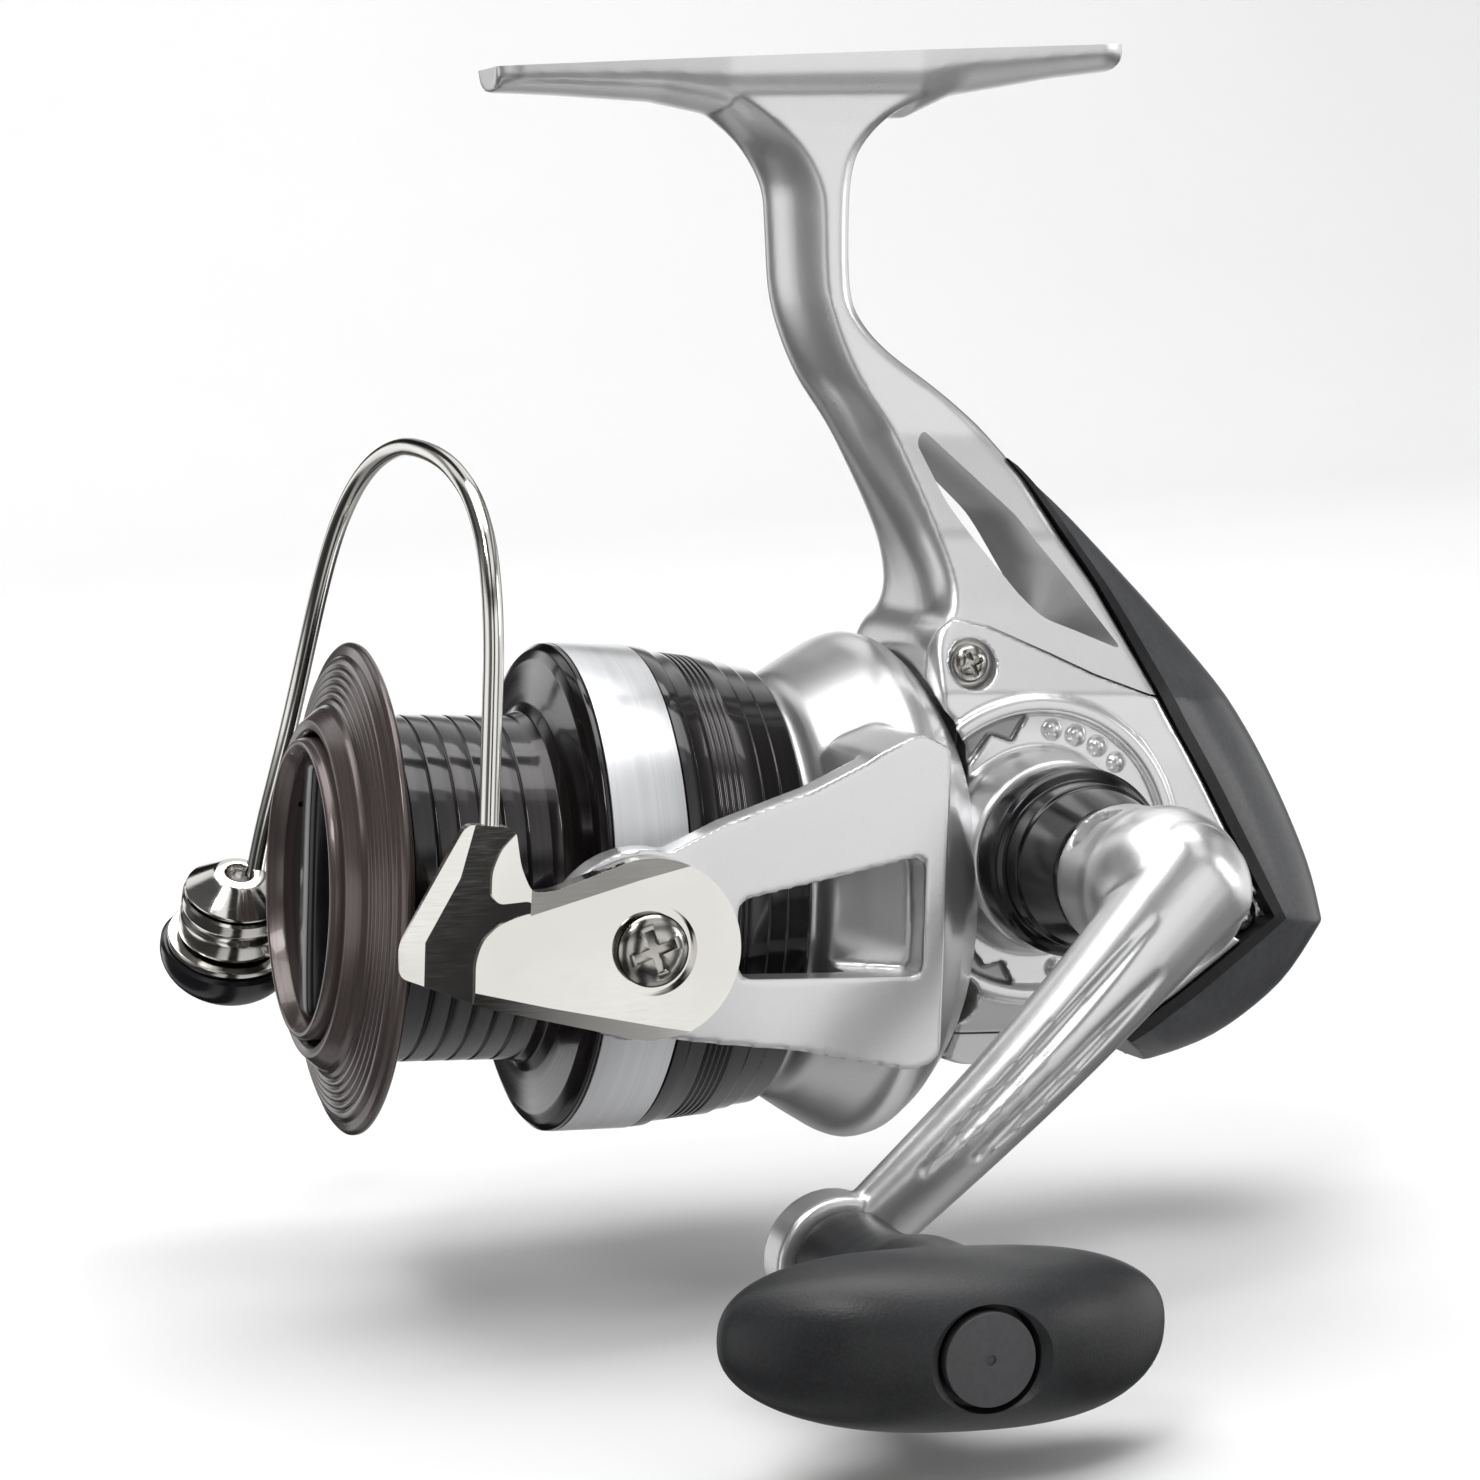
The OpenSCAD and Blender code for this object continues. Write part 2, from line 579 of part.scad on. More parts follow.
module wire_cone() color(bright) difference() {
    on_stack() translate([0, 0, -2.6]) rotate_extrude($fn = round_fn)
        polygon([[1.5, 0], [5.4, 0], [5.4, 0.2], [2.6, 2.5], [2.3, 2.6], [1.5, 2.6]]);
    skin(wire_rings(wire_path, wire_d / 2 + 0.05, 12));
}

module line_roller() color(bright) on_stack() translate([0, 0, -8]) rotate_extrude($fn = round_fn)
    polygon([[1.5 + fit, 0], [5.2, 0], [5.6, 0.4], [5.6, 1.4], [5.1, 2], [5.1, 3], [5.6, 3.6], [5.6, 4.8],
        [5.4, 5.1], [1.5 + fit, 5.1]]);

module roller_screw() color(steel) on_stack() {
    translate([0, 0, -10]) cylinder(r = 1.45, h = 7.5, $fn = 48);
    translate([0, 0, -11.2]) cylinder(r = 2.8, h = 1.4, $fn = 48);
}

module roller_cap() color(black) on_stack() difference() {
    rotate_extrude($fn = round_fn) polygon(concat([[0, -9.3], [6.9, -9.3], [7.2, -9.6]],
        [for (a = [0:10:90]) [7.2 * cos(a), -10.2 - 5.2 * sin(a)]]));
    translate([0, 0, -11.6]) cylinder(r = 3.2, h = 3, $fn = 48);
}

// ---------- spool ----------

groove = 0.14;

// Shallow V grooves on a straight stretch from a to b of a [radius, x] outline
function grooved(a, b, count, side_step) = [for (k = [1:count]) for (s = [-1, 0, 1])
    let (t = k / (count + 1)) a + (b - a) * t + (b - a) / norm(b - a) * s * groove * 1.2
        + (s == 0 ? side_step : [0, 0])];

spool_profile = concat(
    [[3 + fit, -57], [11.5, -57], [11.5, -63.5], [15.2, -63.5], [15.2, -70.2], [15.6, -70.8], [16.4, -70.9],
     [17.8, -69.4], [18, -68.9]],
    grooved([18, -68.9], [22, -67.95], 4, [0, groove]),
    [[22, -67.95], [22.3, -67.6], [23.6, -67.3], [flange_r, -67], [flange_r, -66.5], [23.5, -66.2],
     [18.2, -65.6], [drum_r + 0.3, -65], [drum_r, -64.3]],
    grooved([drum_r, -64.3], [drum_r, -50.8], 5, [-groove, 0]),
    [[drum_r, -50.8], [drum_r + 0.4, -49.6], [18.6, -48.9], [22.6, -48.4], [23.5, -48.1], [skirt_r, -47.3],
     [skirt_r, -47], [skirt_r - 0.6, -47], [skirt_r - 0.6, -39.4], [skirt_r - 0.2, -39.4],
     [skirt_r - 0.3, -37.8], [skirt_r - 0.6, -37.6], [skirt_r - 0.7, -36.4]],
    grooved([skirt_r - 0.7, -36.4], [skirt_r - 1.1, -32.6], 4, [-groove, 0]),
    [[skirt_r - 1.1, -32.6], [skirt_r - 1.2, -31.2], [skirt_r - 1.5, -31], [skirt_r - 1.7, -29.2],
     [skirt_r - 1.95, -29], [skirt_r - 2.2, -26.8], [skirt_r - 2.5, -26.5], [20.5, -26.5], [20.5, -45.8],
     [14.6, -45.8], [14.6, -54.5], [6.4, -54.5], [6.4, -45.3], [3 + fit, -45.3]]
);

module spool() color(gunmetal) about_x(spool_profile);

module spool_band() color(silver)
    about_x([[skirt_r - 0.58, -46.9], [skirt_r + 0.02, -46.9], [skirt_r - 0.1, -39.5],
        [skirt_r - 0.58, -39.5]]);

module spool_sleeve() color(brass)
    about_x([[shaft_r + 0.02, -45.2], [3, -45.2], [3, -60.6], [shaft_r + 0.02, -60.6]]);

module click_gear() color(steel) difference() {
    translate([-45, 0, 0]) rotate([0, 90, 0]) linear_extrude(1.2) gear_outline(18, 5.2, 0.6, 0.6, 1);
    cyl_x(shaft_r + 0.02, -46, -43);
}

module drag_washers() color(steel) for (k = [0:2])
    about_x([[3.2, -57.1 - k * 1.15], [10.8 + (k == 1 ? 0.4 : 0), -57.1 - k * 1.15],
        [10.8 + (k == 1 ? 0.4 : 0), -58.1 - k * 1.15], [3.2, -58.1 - k * 1.15]]);

module drag_clip() color(steel) difference() {
    about_x([[9.6, -61], [11.48, -61], [11.48, -61.6], [9.6, -61.6]]);
    translate([-62, -1.5, 0]) cube([3, 3, 20]);
}

knob_rim = 14.7;

module drag_knob() color(black) {
    difference() {
        union() {
            about_x([[0, -60.7], [6.6, -60.7], [6.6, -63.9], [knob_rim, -63.9], [knob_rim, -71.5],
                [knob_rim - 0.3, -71.9], [knob_rim - 0.9, -71.9], [knob_rim - 1.3, -70.6],
                [knob_rim - 1.6, -70.4], [knob_rim - 2.2, -66.4], [0, -66.4]]);
            intersection() {
                translate([-71.2, -2.5, -12.6]) cube([5, 5, 25.2]);
                cyl_x(12.4, -71.3, -66);
            }
        }
        cyl_x(3.1, -65.4, -60);
        for (a = [60, 78, 96]) rotate([a, 0, 0]) translate([-69.2, 0, 12.4])
             cylinder(r = 0.35, h = 1.2, $fn = 16);
    }
}

module drag_nut() color(brass) difference() {
    cyl_x(3.05, -65.2, -63, 6);
    cyl_x(shaft_r + fit, -66, -62);
}

module drag_spring() color(steel) for (k = [0:1])
    translate([-62.6 + 0.75 * k, 0, 0]) rotate([0, 90, 0]) rotate_extrude($fn = 48)
        translate([2.35, 0]) circle(r = 0.33, $fn = 16);

// ---------- handle ----------

hub_y = -43.5;
hub_r = 7.8;

module handle_collar() color(black) about_handle([
    [2.4, 20.75], [9.3, 20.75], [9.3, 24.2], [8.9, 24.8], [8.2, 25], [8, 27.6], [6.6, 34.2], [2.4, 34.2]
]);

module handle_shaft() color(steel) on_handle() difference() {
    union() {
        cyl_y(1.95, -34, 4, 6);
        cyl_y(2.35, -40, -22);
    }
    rotate([0, 46, 0]) translate([0, -38, -10]) cylinder(r = 1.25, h = 20, $fn = 32);
}

// Turns drawings made with the arm along +X so that it points from the crank's axis to the knob
module along_arm() on_handle() rotate([0, atan2(-crank_dir[1], crank_dir[0]), 0]) children();

arm_plan = [[-3, -5.4], [-3, 5.4], [6, 4.9], [20, 4], [34, 3.5], [crank_r, 3.3], [crank_r, -3.3], [34, -3.5],
    [20, -4], [6, -4.9]];
arm_profile = [[-4, -50.6], [0, -52.4], [8, -53.7], [18, -53.3], [30, -51.2], [38.6, -48.9], [39.4, -48.2],
    [crank_r, -48.2], [crank_r, -43.6], [36, -45], [24, -47.2], [12, -48.2], [4, -47], [-4, -45]];

module handle_arm() color(silver) difference() {
    union() {
        on_handle() cyl_y(7.1, hub_y, -34.3);
        on_handle() translate([0, hub_y, 0]) sphere(r = hub_r, $fn = round_fn);
        along_arm() intersection() {
            side(-60, -40) polygon(arm_plan);
            translate([0, 0, -8]) linear_extrude(16) polygon(arm_profile);
        }
        on_knob() cyl_y(6.3, -48.4, -43.4);
    }
    on_handle() cyl_y(5.2, -36.5, -30);
    on_handle() cyl_y(2.4, -40.2, -30);
    // notch that clears the shank when the arm folds
    on_handle() rotate([0, 46, 0]) translate([-8.5, -35.6, -2.4]) cube([5, 3, 4.8]);
    on_handle() rotate([0, 46, 0]) translate([0, -38, -10]) cylinder(r = 1.25, h = 20, $fn = 32);
    on_knob() cyl_y(2, -50, -42, 48);
    // two long grooves on the outer face
    for (z = [-1.9, 1.5]) along_arm() translate([11, -54, z]) rotate([0, 0, 4]) cube([22, 1, 0.6]);
}

module fold_pin() color(steel) on_handle() rotate([0, 46, 0]) translate([0, -38, -6.6])
    cylinder(r = 1.2, h = 13.2, $fn = 32);

module handle_cap() color(charcoal) difference() {
    union() {
        on_handle() cyl_y(3.9, far_y, 16);
        about_handle([[0, -14.1], [6.7, -14.1], [7.2, -14.7], [7.2, -16.6], [6.5, -17.3], [0, -17.3]]);
        on_handle() cyl_y(1.7, 5, 14);
    }
    for (a = [0:15:345]) on_handle() rotate([0, a, 0]) translate([7.5, 0, 0]) cyl_y(0.55, 14, 18, 24);
}

module knob_shaft() color(steel) on_knob() {
    cyl_y(1.97, -80.5, -43.2);
    cyl_y(3, -81.6, -80.4);
}

// Half height and depth of the knob's bar at a share s of its half length
function bar_ring(s) = let (
        x = s * knob_len / 2,
        end = pow(1 - pow(abs(s), 3), 0.4),
        back = -66.2 - 1.2 * s * s,
        face = -82.9 + 6.5 * s * s,
        mid = (back + face) / 2,
        half = max((back - face) / 2 * end, 0.3),
        h = max(7.3 * end * (1 - 0.06 * s * s), 0.3))
    [for (i = [0:27]) let (a = 360 * i / 28, k = 0.75)
        [x, mid + half * sign(sin(a)) * pow(abs(sin(a)), k), h * sign(cos(a)) * pow(abs(cos(a)), k)]];

bar_shares = [-1, -0.985, -0.94, -0.86, -0.75, -0.6, -0.4, -0.2, 0, 0.2, 0.4, 0.6, 0.75, 0.86, 0.94,
    0.985, 1];

module knob() color(charcoal) on_knob() difference() {
    union() {
        skin([for (s = bar_shares) bar_ring(s)]);
        rotate([90, 0, 0]) rotate_extrude($fn = round_fn) polygon([[0, 48.5], [5.1, 48.5], [5.5, 49.2],
            [5.3, 53], [5.4, 58], [6.2, 63], [7, 67], [7, 70], [0, 70]]);
    }
    cyl_y(2 + fit, -80, -48);
    cyl_y(4.3, -84, -79);
}

module knob_plug() color(charcoal) on_knob() difference() {
    cyl_y(4.25, -82.6, -81.8);
    cyl_y(0.4, -83, -82.3, 24);
}

seated() body_frame();
seated() side_cover();
seated() rear_guard();
seated() cover_screws();
seated() guard_screw();
seated() drive_gear();
seated() drive_bearing_near();
seated() drive_bearing_far();
seated() feed_gear();
seated() oscillation_gear();
seated() oscillation_axle();
seated() oscillation_slider();
seated() slider_screw();
seated() guide_rod();
seated() pinion_gear();
seated() pinion_bearing();
seated() oneway_clutch();
seated() main_shaft();
seated() rotor_seal_ring();
seated() rotor();
seated() rotor_nut();
seated() bail_holder();
seated() bail_screw_near();
seated() roller_arm();
seated() bail_screw_far();
seated() bail_spring();
seated() bail_wire();
seated() wire_cone();
seated() line_roller();
seated() roller_screw();
seated() roller_cap();
seated() spool();
seated() spool_band();
seated() spool_sleeve();
seated() click_gear();
seated() drag_washers();
seated() drag_clip();
seated() drag_knob();
seated() drag_nut();
seated() drag_spring();
seated() handle_collar();
seated() handle_shaft();
seated() handle_arm();
seated() fold_pin();
seated() handle_cap();
seated() knob_shaft();
seated() knob();
seated() knob_plug();
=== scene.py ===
import json
from math import copysign, cos, pi, radians, sin, tau

import bmesh
import bpy
from mathutils import Matrix, Vector


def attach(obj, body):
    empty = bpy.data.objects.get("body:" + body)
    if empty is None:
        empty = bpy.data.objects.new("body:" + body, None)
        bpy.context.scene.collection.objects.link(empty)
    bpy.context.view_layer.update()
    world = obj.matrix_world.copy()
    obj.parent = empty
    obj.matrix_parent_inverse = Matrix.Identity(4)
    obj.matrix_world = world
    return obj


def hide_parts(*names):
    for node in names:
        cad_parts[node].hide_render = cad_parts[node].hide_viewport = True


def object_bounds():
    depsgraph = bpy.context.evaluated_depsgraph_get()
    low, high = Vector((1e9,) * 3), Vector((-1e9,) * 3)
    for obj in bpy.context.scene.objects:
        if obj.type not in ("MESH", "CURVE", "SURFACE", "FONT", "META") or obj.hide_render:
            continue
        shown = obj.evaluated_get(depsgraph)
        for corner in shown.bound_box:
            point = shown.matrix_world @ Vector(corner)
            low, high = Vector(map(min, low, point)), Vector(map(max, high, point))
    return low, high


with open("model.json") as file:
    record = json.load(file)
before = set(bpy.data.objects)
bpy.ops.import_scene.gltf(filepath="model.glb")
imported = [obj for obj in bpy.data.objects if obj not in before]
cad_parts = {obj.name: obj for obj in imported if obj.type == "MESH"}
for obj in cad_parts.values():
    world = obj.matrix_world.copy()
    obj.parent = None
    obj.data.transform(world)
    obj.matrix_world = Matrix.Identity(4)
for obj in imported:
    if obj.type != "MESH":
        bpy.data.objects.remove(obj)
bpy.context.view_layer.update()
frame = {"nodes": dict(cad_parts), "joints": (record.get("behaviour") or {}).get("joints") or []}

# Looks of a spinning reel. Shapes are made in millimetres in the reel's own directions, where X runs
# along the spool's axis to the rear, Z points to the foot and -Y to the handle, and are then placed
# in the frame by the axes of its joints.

MM = 0.001
joints = {joint["name"]: joint for joint in frame["joints"]}


def joint_axis(name):
    return Vector(joints[name]["axis"]).normalized()


def joint_point(name):
    return Vector(joints[name]["pos_m"])


def placement(directions, position, scale=1.0):
    """Matrix that turns X, Y and Z into three directions and the origin into a position."""
    matrix = Matrix.Identity(4)
    for column, direction in enumerate(directions):
        for row in range(3):
            matrix[row][column] = direction[row] * scale
    matrix.translation = position
    return matrix


# ---------- places, from the joints ----------

along = joint_axis("rotor_spin")
across = joint_axis("crank_turn")
crank_point = joint_point("crank_turn")
spool_point = joint_point("rotor_spin")
centre = spool_point + along * (crank_point - spool_point).dot(along)

REEL = placement((along, across, along.cross(across)), centre, MM)
TO_REEL = REEL.inverted()


def reel_point(name):
    return TO_REEL @ joint_point(name)


X_DIR = Vector((1, 0, 0))
Y_DIR = Vector((0, 1, 0))
HANDLE_Z = reel_point("crank_turn").z
KNOB = reel_point("knob_spin")
PIVOT = reel_point("bail_flip")
CRANK_DIR = Vector((KNOB.x, 0, KNOB.z - HANDLE_Z))
CRANK_R = CRANK_DIR.length
CRANK_DIR.normalize()
ARM_SIDE = Vector((-CRANK_DIR.z, 0, CRANK_DIR.x))
STACK_AXIS = (TO_REEL.to_3x3() @ joint_axis("roller_spin")).normalized()
STACK_SIDE = STACK_AXIS.cross(X_DIR)
STACK_TOP = reel_point("roller_spin") + STACK_AXIS * 5.5

# ---------- mesh making ----------


def add_object(name, points, faces):
    mesh = bpy.data.meshes.new(name)
    mesh.from_pydata([tuple(point) for point in points], [], faces)
    shape = bmesh.new()
    shape.from_mesh(mesh)
    bmesh.ops.remove_doubles(shape, verts=shape.verts, dist=1e-5)
    bmesh.ops.recalc_face_normals(shape, faces=shape.faces)
    shape.to_mesh(mesh)
    shape.free()
    piece = bpy.data.objects.new(name, mesh)
    bpy.context.scene.collection.objects.link(piece)
    return piece


CURVE_STEPS = 5


def curve(points):
    """Smooth curve through the points, as a list of points."""
    points = [Vector(point) for point in points]
    result = []
    for i in range(len(points) - 1):
        a = points[max(i - 1, 0)]
        b = points[i]
        c = points[i + 1]
        d = points[min(i + 2, len(points) - 1)]
        for k in range(CURVE_STEPS):
            t = k / CURVE_STEPS
            result.append(0.5 * (2 * b + (c - a) * t + (2 * a - 5 * b + 4 * c - d) * t ** 2
                                 + (3 * b - a - 3 * c + d) * t ** 3))
    result.append(points[-1])
    return result


NEARLY_STRAIGHT = 0.15


def rounded(outline, radius, steps=4):
    """Closed outline with each corner turned into a small arc."""
    corners = [Vector(point) for point in outline]
    result = []
    for i, corner in enumerate(corners):
        before = corners[i - 1] - corner
        after = corners[(i + 1) % len(corners)] - corner
        if before.length < 1e-6 or after.length < 1e-6:
            continue
        if pi - before.angle(after) < NEARLY_STRAIGHT:
            result.append(corner)
            continue
        reach = min(radius, 0.45 * before.length, 0.45 * after.length)
        start = corner + before.normalized() * reach
        end = corner + after.normalized() * reach
        for k in range(steps + 1):
            t = k / steps
            result.append(start * (1 - t) ** 2 + corner * 2 * t * (1 - t) + end * t ** 2)
    return result


def look_up(points, value):
    """Straight-line reading of a table of (value, result) pairs that rise in value."""
    if value <= points[0][0]:
        return points[0][1]
    for a, b in zip(points, points[1:]):
        if value <= b[0]:
            return a[1] + (b[1] - a[1]) * (value - a[0]) / max(b[0] - a[0], 1e-9)
    return points[-1][1]


def power(value, exponent):
    """Power of a number's size, which keeps its sign."""
    return copysign(abs(value) ** exponent, value)


def cos_deg(degrees):
    return cos(radians(degrees))


def sin_deg(degrees):
    return sin(radians(degrees))


def oval(middle, wide, tall, count):
    """Ring of points about a middle, given by its two half axes."""
    angles = [tau * k / count for k in range(count)]
    return [middle + wide * cos(angle) + tall * sin(angle) for angle in angles]


def skin(name, rings):
    """Closed solid through a list of rings with the same number of points."""
    count = len(rings[0])
    points = [point for ring in rings for point in ring]
    faces = [list(range(count)), list(range(len(points) - count, len(points)))[::-1]]
    for k in range(len(rings) - 1):
        for i in range(count):
            j = (i + 1) % count
            low, high = k * count, (k + 1) * count
            faces.append([low + j, low + i, high + i, high + j])
    return add_object(name, points, faces)


def lathe(name, profile, place, steps=144):
    """Solid turned from (radius, height) pairs. Place maps its points into the reel."""
    points = []
    rows = []
    for radius, height in profile:
        if radius < 1e-4:
            rows.append([len(points)] * steps)
            points.append(place(0, 0, height))
            continue
        rows.append(list(range(len(points), len(points) + steps)))
        for k in range(steps):
            angle = tau * k / steps
            points.append(place(radius * cos(angle), radius * sin(angle), height))
    faces = []
    pairs = list(zip(rows, rows[1:]))
    if profile[0][0] > 1e-4 or profile[-1][0] > 1e-4:
        pairs.append((rows[-1], rows[0]))
    for low, high in pairs:
        for k in range(steps):
            j = (k + 1) % steps
            corners = list(dict.fromkeys([low[k], low[j], high[j], high[k]]))
            if len(corners) > 2:
                faces.append(corners)
    return add_object(name, points, faces)


def spool_place(u, v, h):
    return Vector((h, u, v))


def cross_place(at):
    """Turning about an axis along Y through (x, z)."""
    return lambda u, v, h: Vector((at[0] + u, h, at[1] + v))


ON_CRANK = cross_place((0, HANDLE_Z))
ON_KNOB = cross_place((KNOB.x, KNOB.z))
ON_PIVOT = cross_place((PIVOT.x, PIVOT.z))


def stack_place(u, v, h):
    """Turning about the line roller's axis, with heights from its screw's end."""
    return STACK_TOP + STACK_AXIS * h + X_DIR * u + STACK_SIDE.normalized() * v


def bore(radius, start, end, place, steps=48):
    """Plain round bar that cuts a hole."""
    return lathe("bore", [(0, start), (radius, start), (radius, end), (0, end)], place, steps)


def turned(name, profile, place, radius=0.15, steps=144):
    """Turned part with its corners broken by a small radius."""
    outline = [Vector(point) for point in rounded(profile, radius, 3)]
    if profile[0][0] < 1e-4:
        first, last = Vector(profile[0]), Vector(profile[-1])
        outline = [first] + [point for point in outline if point.x > 1e-3
                             and (point - first).length > radius * 1.01
                             and (point - last).length > radius * 1.01] + [last]
    return lathe(name, [tuple(point) for point in outline], place, steps)


def prism(name, outline, low, high):
    """An outline of (x, z) pairs drawn out along Y."""
    flat = [Vector(point) for point in outline]
    rings = [[Vector((point.x, y, point.y)) for point in flat] for y in (low, high)]
    return skin(name, rings)


def disc(name, radius, low, high, steps=128):
    """Round plate about the bail's pivot."""
    angles = [tau * k / steps for k in range(steps)]
    outline = [(PIVOT.x + radius * cos(angle), PIVOT.z + radius * sin(angle)) for angle in angles]
    return prism(name, outline, low, high)


def tube(name, path, radius, sides):
    """Round bar that follows a path."""
    rings = []
    normal = None
    for i, point in enumerate(path):
        heading = (path[min(i + 1, len(path) - 1)] - path[max(i - 1, 0)]).normalized()
        if normal is None:
            normal = heading.cross(X_DIR).normalized()
        normal = (normal - heading * normal.dot(heading)).normalized()
        rings.append(oval(point, normal * radius, heading.cross(normal) * radius, sides))
    return skin(name, rings)


def apply_modifiers(piece):
    bpy.context.view_layer.update()
    depsgraph = bpy.context.evaluated_depsgraph_get()
    mesh = bpy.data.meshes.new_from_object(piece.evaluated_get(depsgraph))
    old = piece.data
    piece.modifiers.clear()
    piece.data = mesh
    bpy.data.meshes.remove(old)
    return piece


def combine(piece, tools, operation):
    """Adds the tools to a piece, cuts them out of it or keeps only what they share."""
    for tool in tools if isinstance(tools, (list, tuple)) else [tools]:
        change = piece.modifiers.new("cut", "BOOLEAN")
        change.operation = operation
        change.solver = "EXACT"
        change.object = tool
        apply_modifiers(piece)
        bpy.data.objects.remove(tool)
    return piece


def cut(piece, tools):
    return combine(piece, tools, "DIFFERENCE")


def unite(piece, tools):
    return combine(piece, tools, "UNION")


def close_slivers(piece):
    """Melts the hair-thin faces that a cut can leave on a dense mesh."""
    shape = bmesh.new()
    shape.from_mesh(piece.data)
    bmesh.ops.dissolve_degenerate(shape, edges=shape.edges, dist=1e-3)
    bmesh.ops.remove_doubles(shape, verts=shape.verts, dist=1e-3)
    shape.to_mesh(piece.data)
    shape.free()
    return piece


def soften(piece, size, passes):
    """Turns sharp corners into the soft ones of a casting."""
    change = piece.modifiers.new("grid", "REMESH")
    change.mode = "VOXEL"
    change.voxel_size = size
    smooth = piece.modifiers.new("smooth", "SMOOTH")
    smooth.factor = 0.5
    smooth.iterations = passes
    apply_modifiers(piece)


def bevel(piece, width, segments, angle):
    change = piece.modifiers.new("bevel", "BEVEL")
    change.width = width
    change.segments = segments
    change.limit_method = "ANGLE"
    change.angle_limit = radians(angle)
    change.use_clamp_overlap = True
    return apply_modifiers(piece)


def mirrored(piece):
    """Moves a piece to the other side of the spool's axis."""
    piece.data.transform(Matrix.Diagonal((1, -1, 1, 1)))
    piece.data.flip_normals()
    return piece


def deliver(piece, body, material, nodes=(), angle=35, flat_faces=False):
    """Moves a finished piece into the frame and lets it ride on its body."""
    piece.data.transform(REEL)
    mesh = piece.data
    mesh.materials.clear()
    mesh.materials.append(material)
    for face in mesh.polygons:
        face.use_smooth = True
        face.material_index = 0
    mesh.set_sharp_from_angle(angle=radians(angle))
    if flat_faces:
        weigh = piece.modifiers.new("flat", "WEIGHTED_NORMAL")
        weigh.keep_sharp = True
        weigh.weight = 90
        apply_modifiers(piece)
    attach(piece, body)
    if nodes:
        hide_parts(*nodes)


# ---------- materials ----------


def add_node(tree, kind, links=(), **settings):
    """Node with its sockets linked to other nodes' outputs or set to values."""
    node = tree.nodes.new(kind)
    for key, value in settings.items():
        setattr(node, key, value)
    for socket, source in dict(links).items():
        if hasattr(source, "links"):
            tree.links.new(source, node.inputs[socket])
        else:
            node.inputs[socket].default_value = source
    return node


def mix(tree, factor, a, b, **settings):
    """Blend of two colours."""
    links = {"Factor": factor, "A": a, "B": b}
    return add_node(tree, "ShaderNodeMix", links, data_type="RGBA", **settings).outputs["Result"]


class Nodes:
    """Short names for building one material's nodes."""

    def __init__(self, name, **settings):
        self.material = bpy.data.materials.new(name)
        self.material.use_nodes = True
        self.tree = self.material.node_tree
        self.shader = self.tree.nodes["Principled BSDF"]
        for socket, value in settings.items():
            self.shader.inputs[socket.replace("_", " ")].default_value = value
        self.place = self.add("ShaderNodeTexCoord").outputs["Object"]

    def add(self, kind, links=(), **settings):
        return add_node(self.tree, kind, links, **settings)

    def noise(self, scale, detail=3.0, where=None):
        links = {"Vector": where or self.place, "Scale": scale, "Detail": detail}
        return self.add("ShaderNodeTexNoise", links).outputs["Fac"]

    def stretched(self, scale):
        return self.add("ShaderNodeMapping", {"Vector": self.place, "Scale": scale}).outputs[0]

    def ramp(self, source, low, high, start=0.0, end=1.0):
        links = {"Value": source, "From Min": start, "From Max": end, "To Min": low, "To Max": high}
        return self.add("ShaderNodeMapRange", links).outputs["Result"]

    def tint(self, source, dark, light):
        return mix(self.tree, source, (*dark, 1), (*light, 1))

    def sum(self, a, b, operation="ADD"):
        return self.add("ShaderNodeMath", {0: a, 1: b}, operation=operation).outputs[0]

    def link(self, source, socket):
        self.tree.links.new(source, self.shader.inputs[socket])

    def bump(self, height, strength, distance=0.0001):
        links = {"Height": height, "Strength": strength, "Distance": distance}
        self.link(self.add("ShaderNodeBump", links).outputs["Normal"], "Normal")

    def vector(self, operation, a, b=(0.0, 0.0, 0.0)):
        links = {0: a, 1: b if hasattr(b, "links") else tuple(b)}
        return self.add("ShaderNodeVectorMath", links, operation=operation).outputs

    def axial(self, point, axis):
        return self.vector("DOT_PRODUCT", self.vector("SUBTRACT", self.place, point)[0], axis)["Value"]

    def radial(self, point, axis):
        aside = self.vector("CROSS_PRODUCT", self.vector("SUBTRACT", self.place, point)[0], axis)[0]
        return self.vector("LENGTH", aside)["Value"]

    def rings(self, scale):
        """Noise that changes only outwards from the spool's axis and along it, as a lathe leaves."""
        links = {"X": self.axial(centre, along), "Y": self.radial(centre, along), "Z": 0.0}
        return self.noise(scale, 4.0, self.add("ShaderNodeCombineXYZ", links).outputs[0])


DIAL_R = 0.0138
DIAL_SINK = -0.01345
DIAL_GREY = (0.3, 0.3, 0.305, 1)


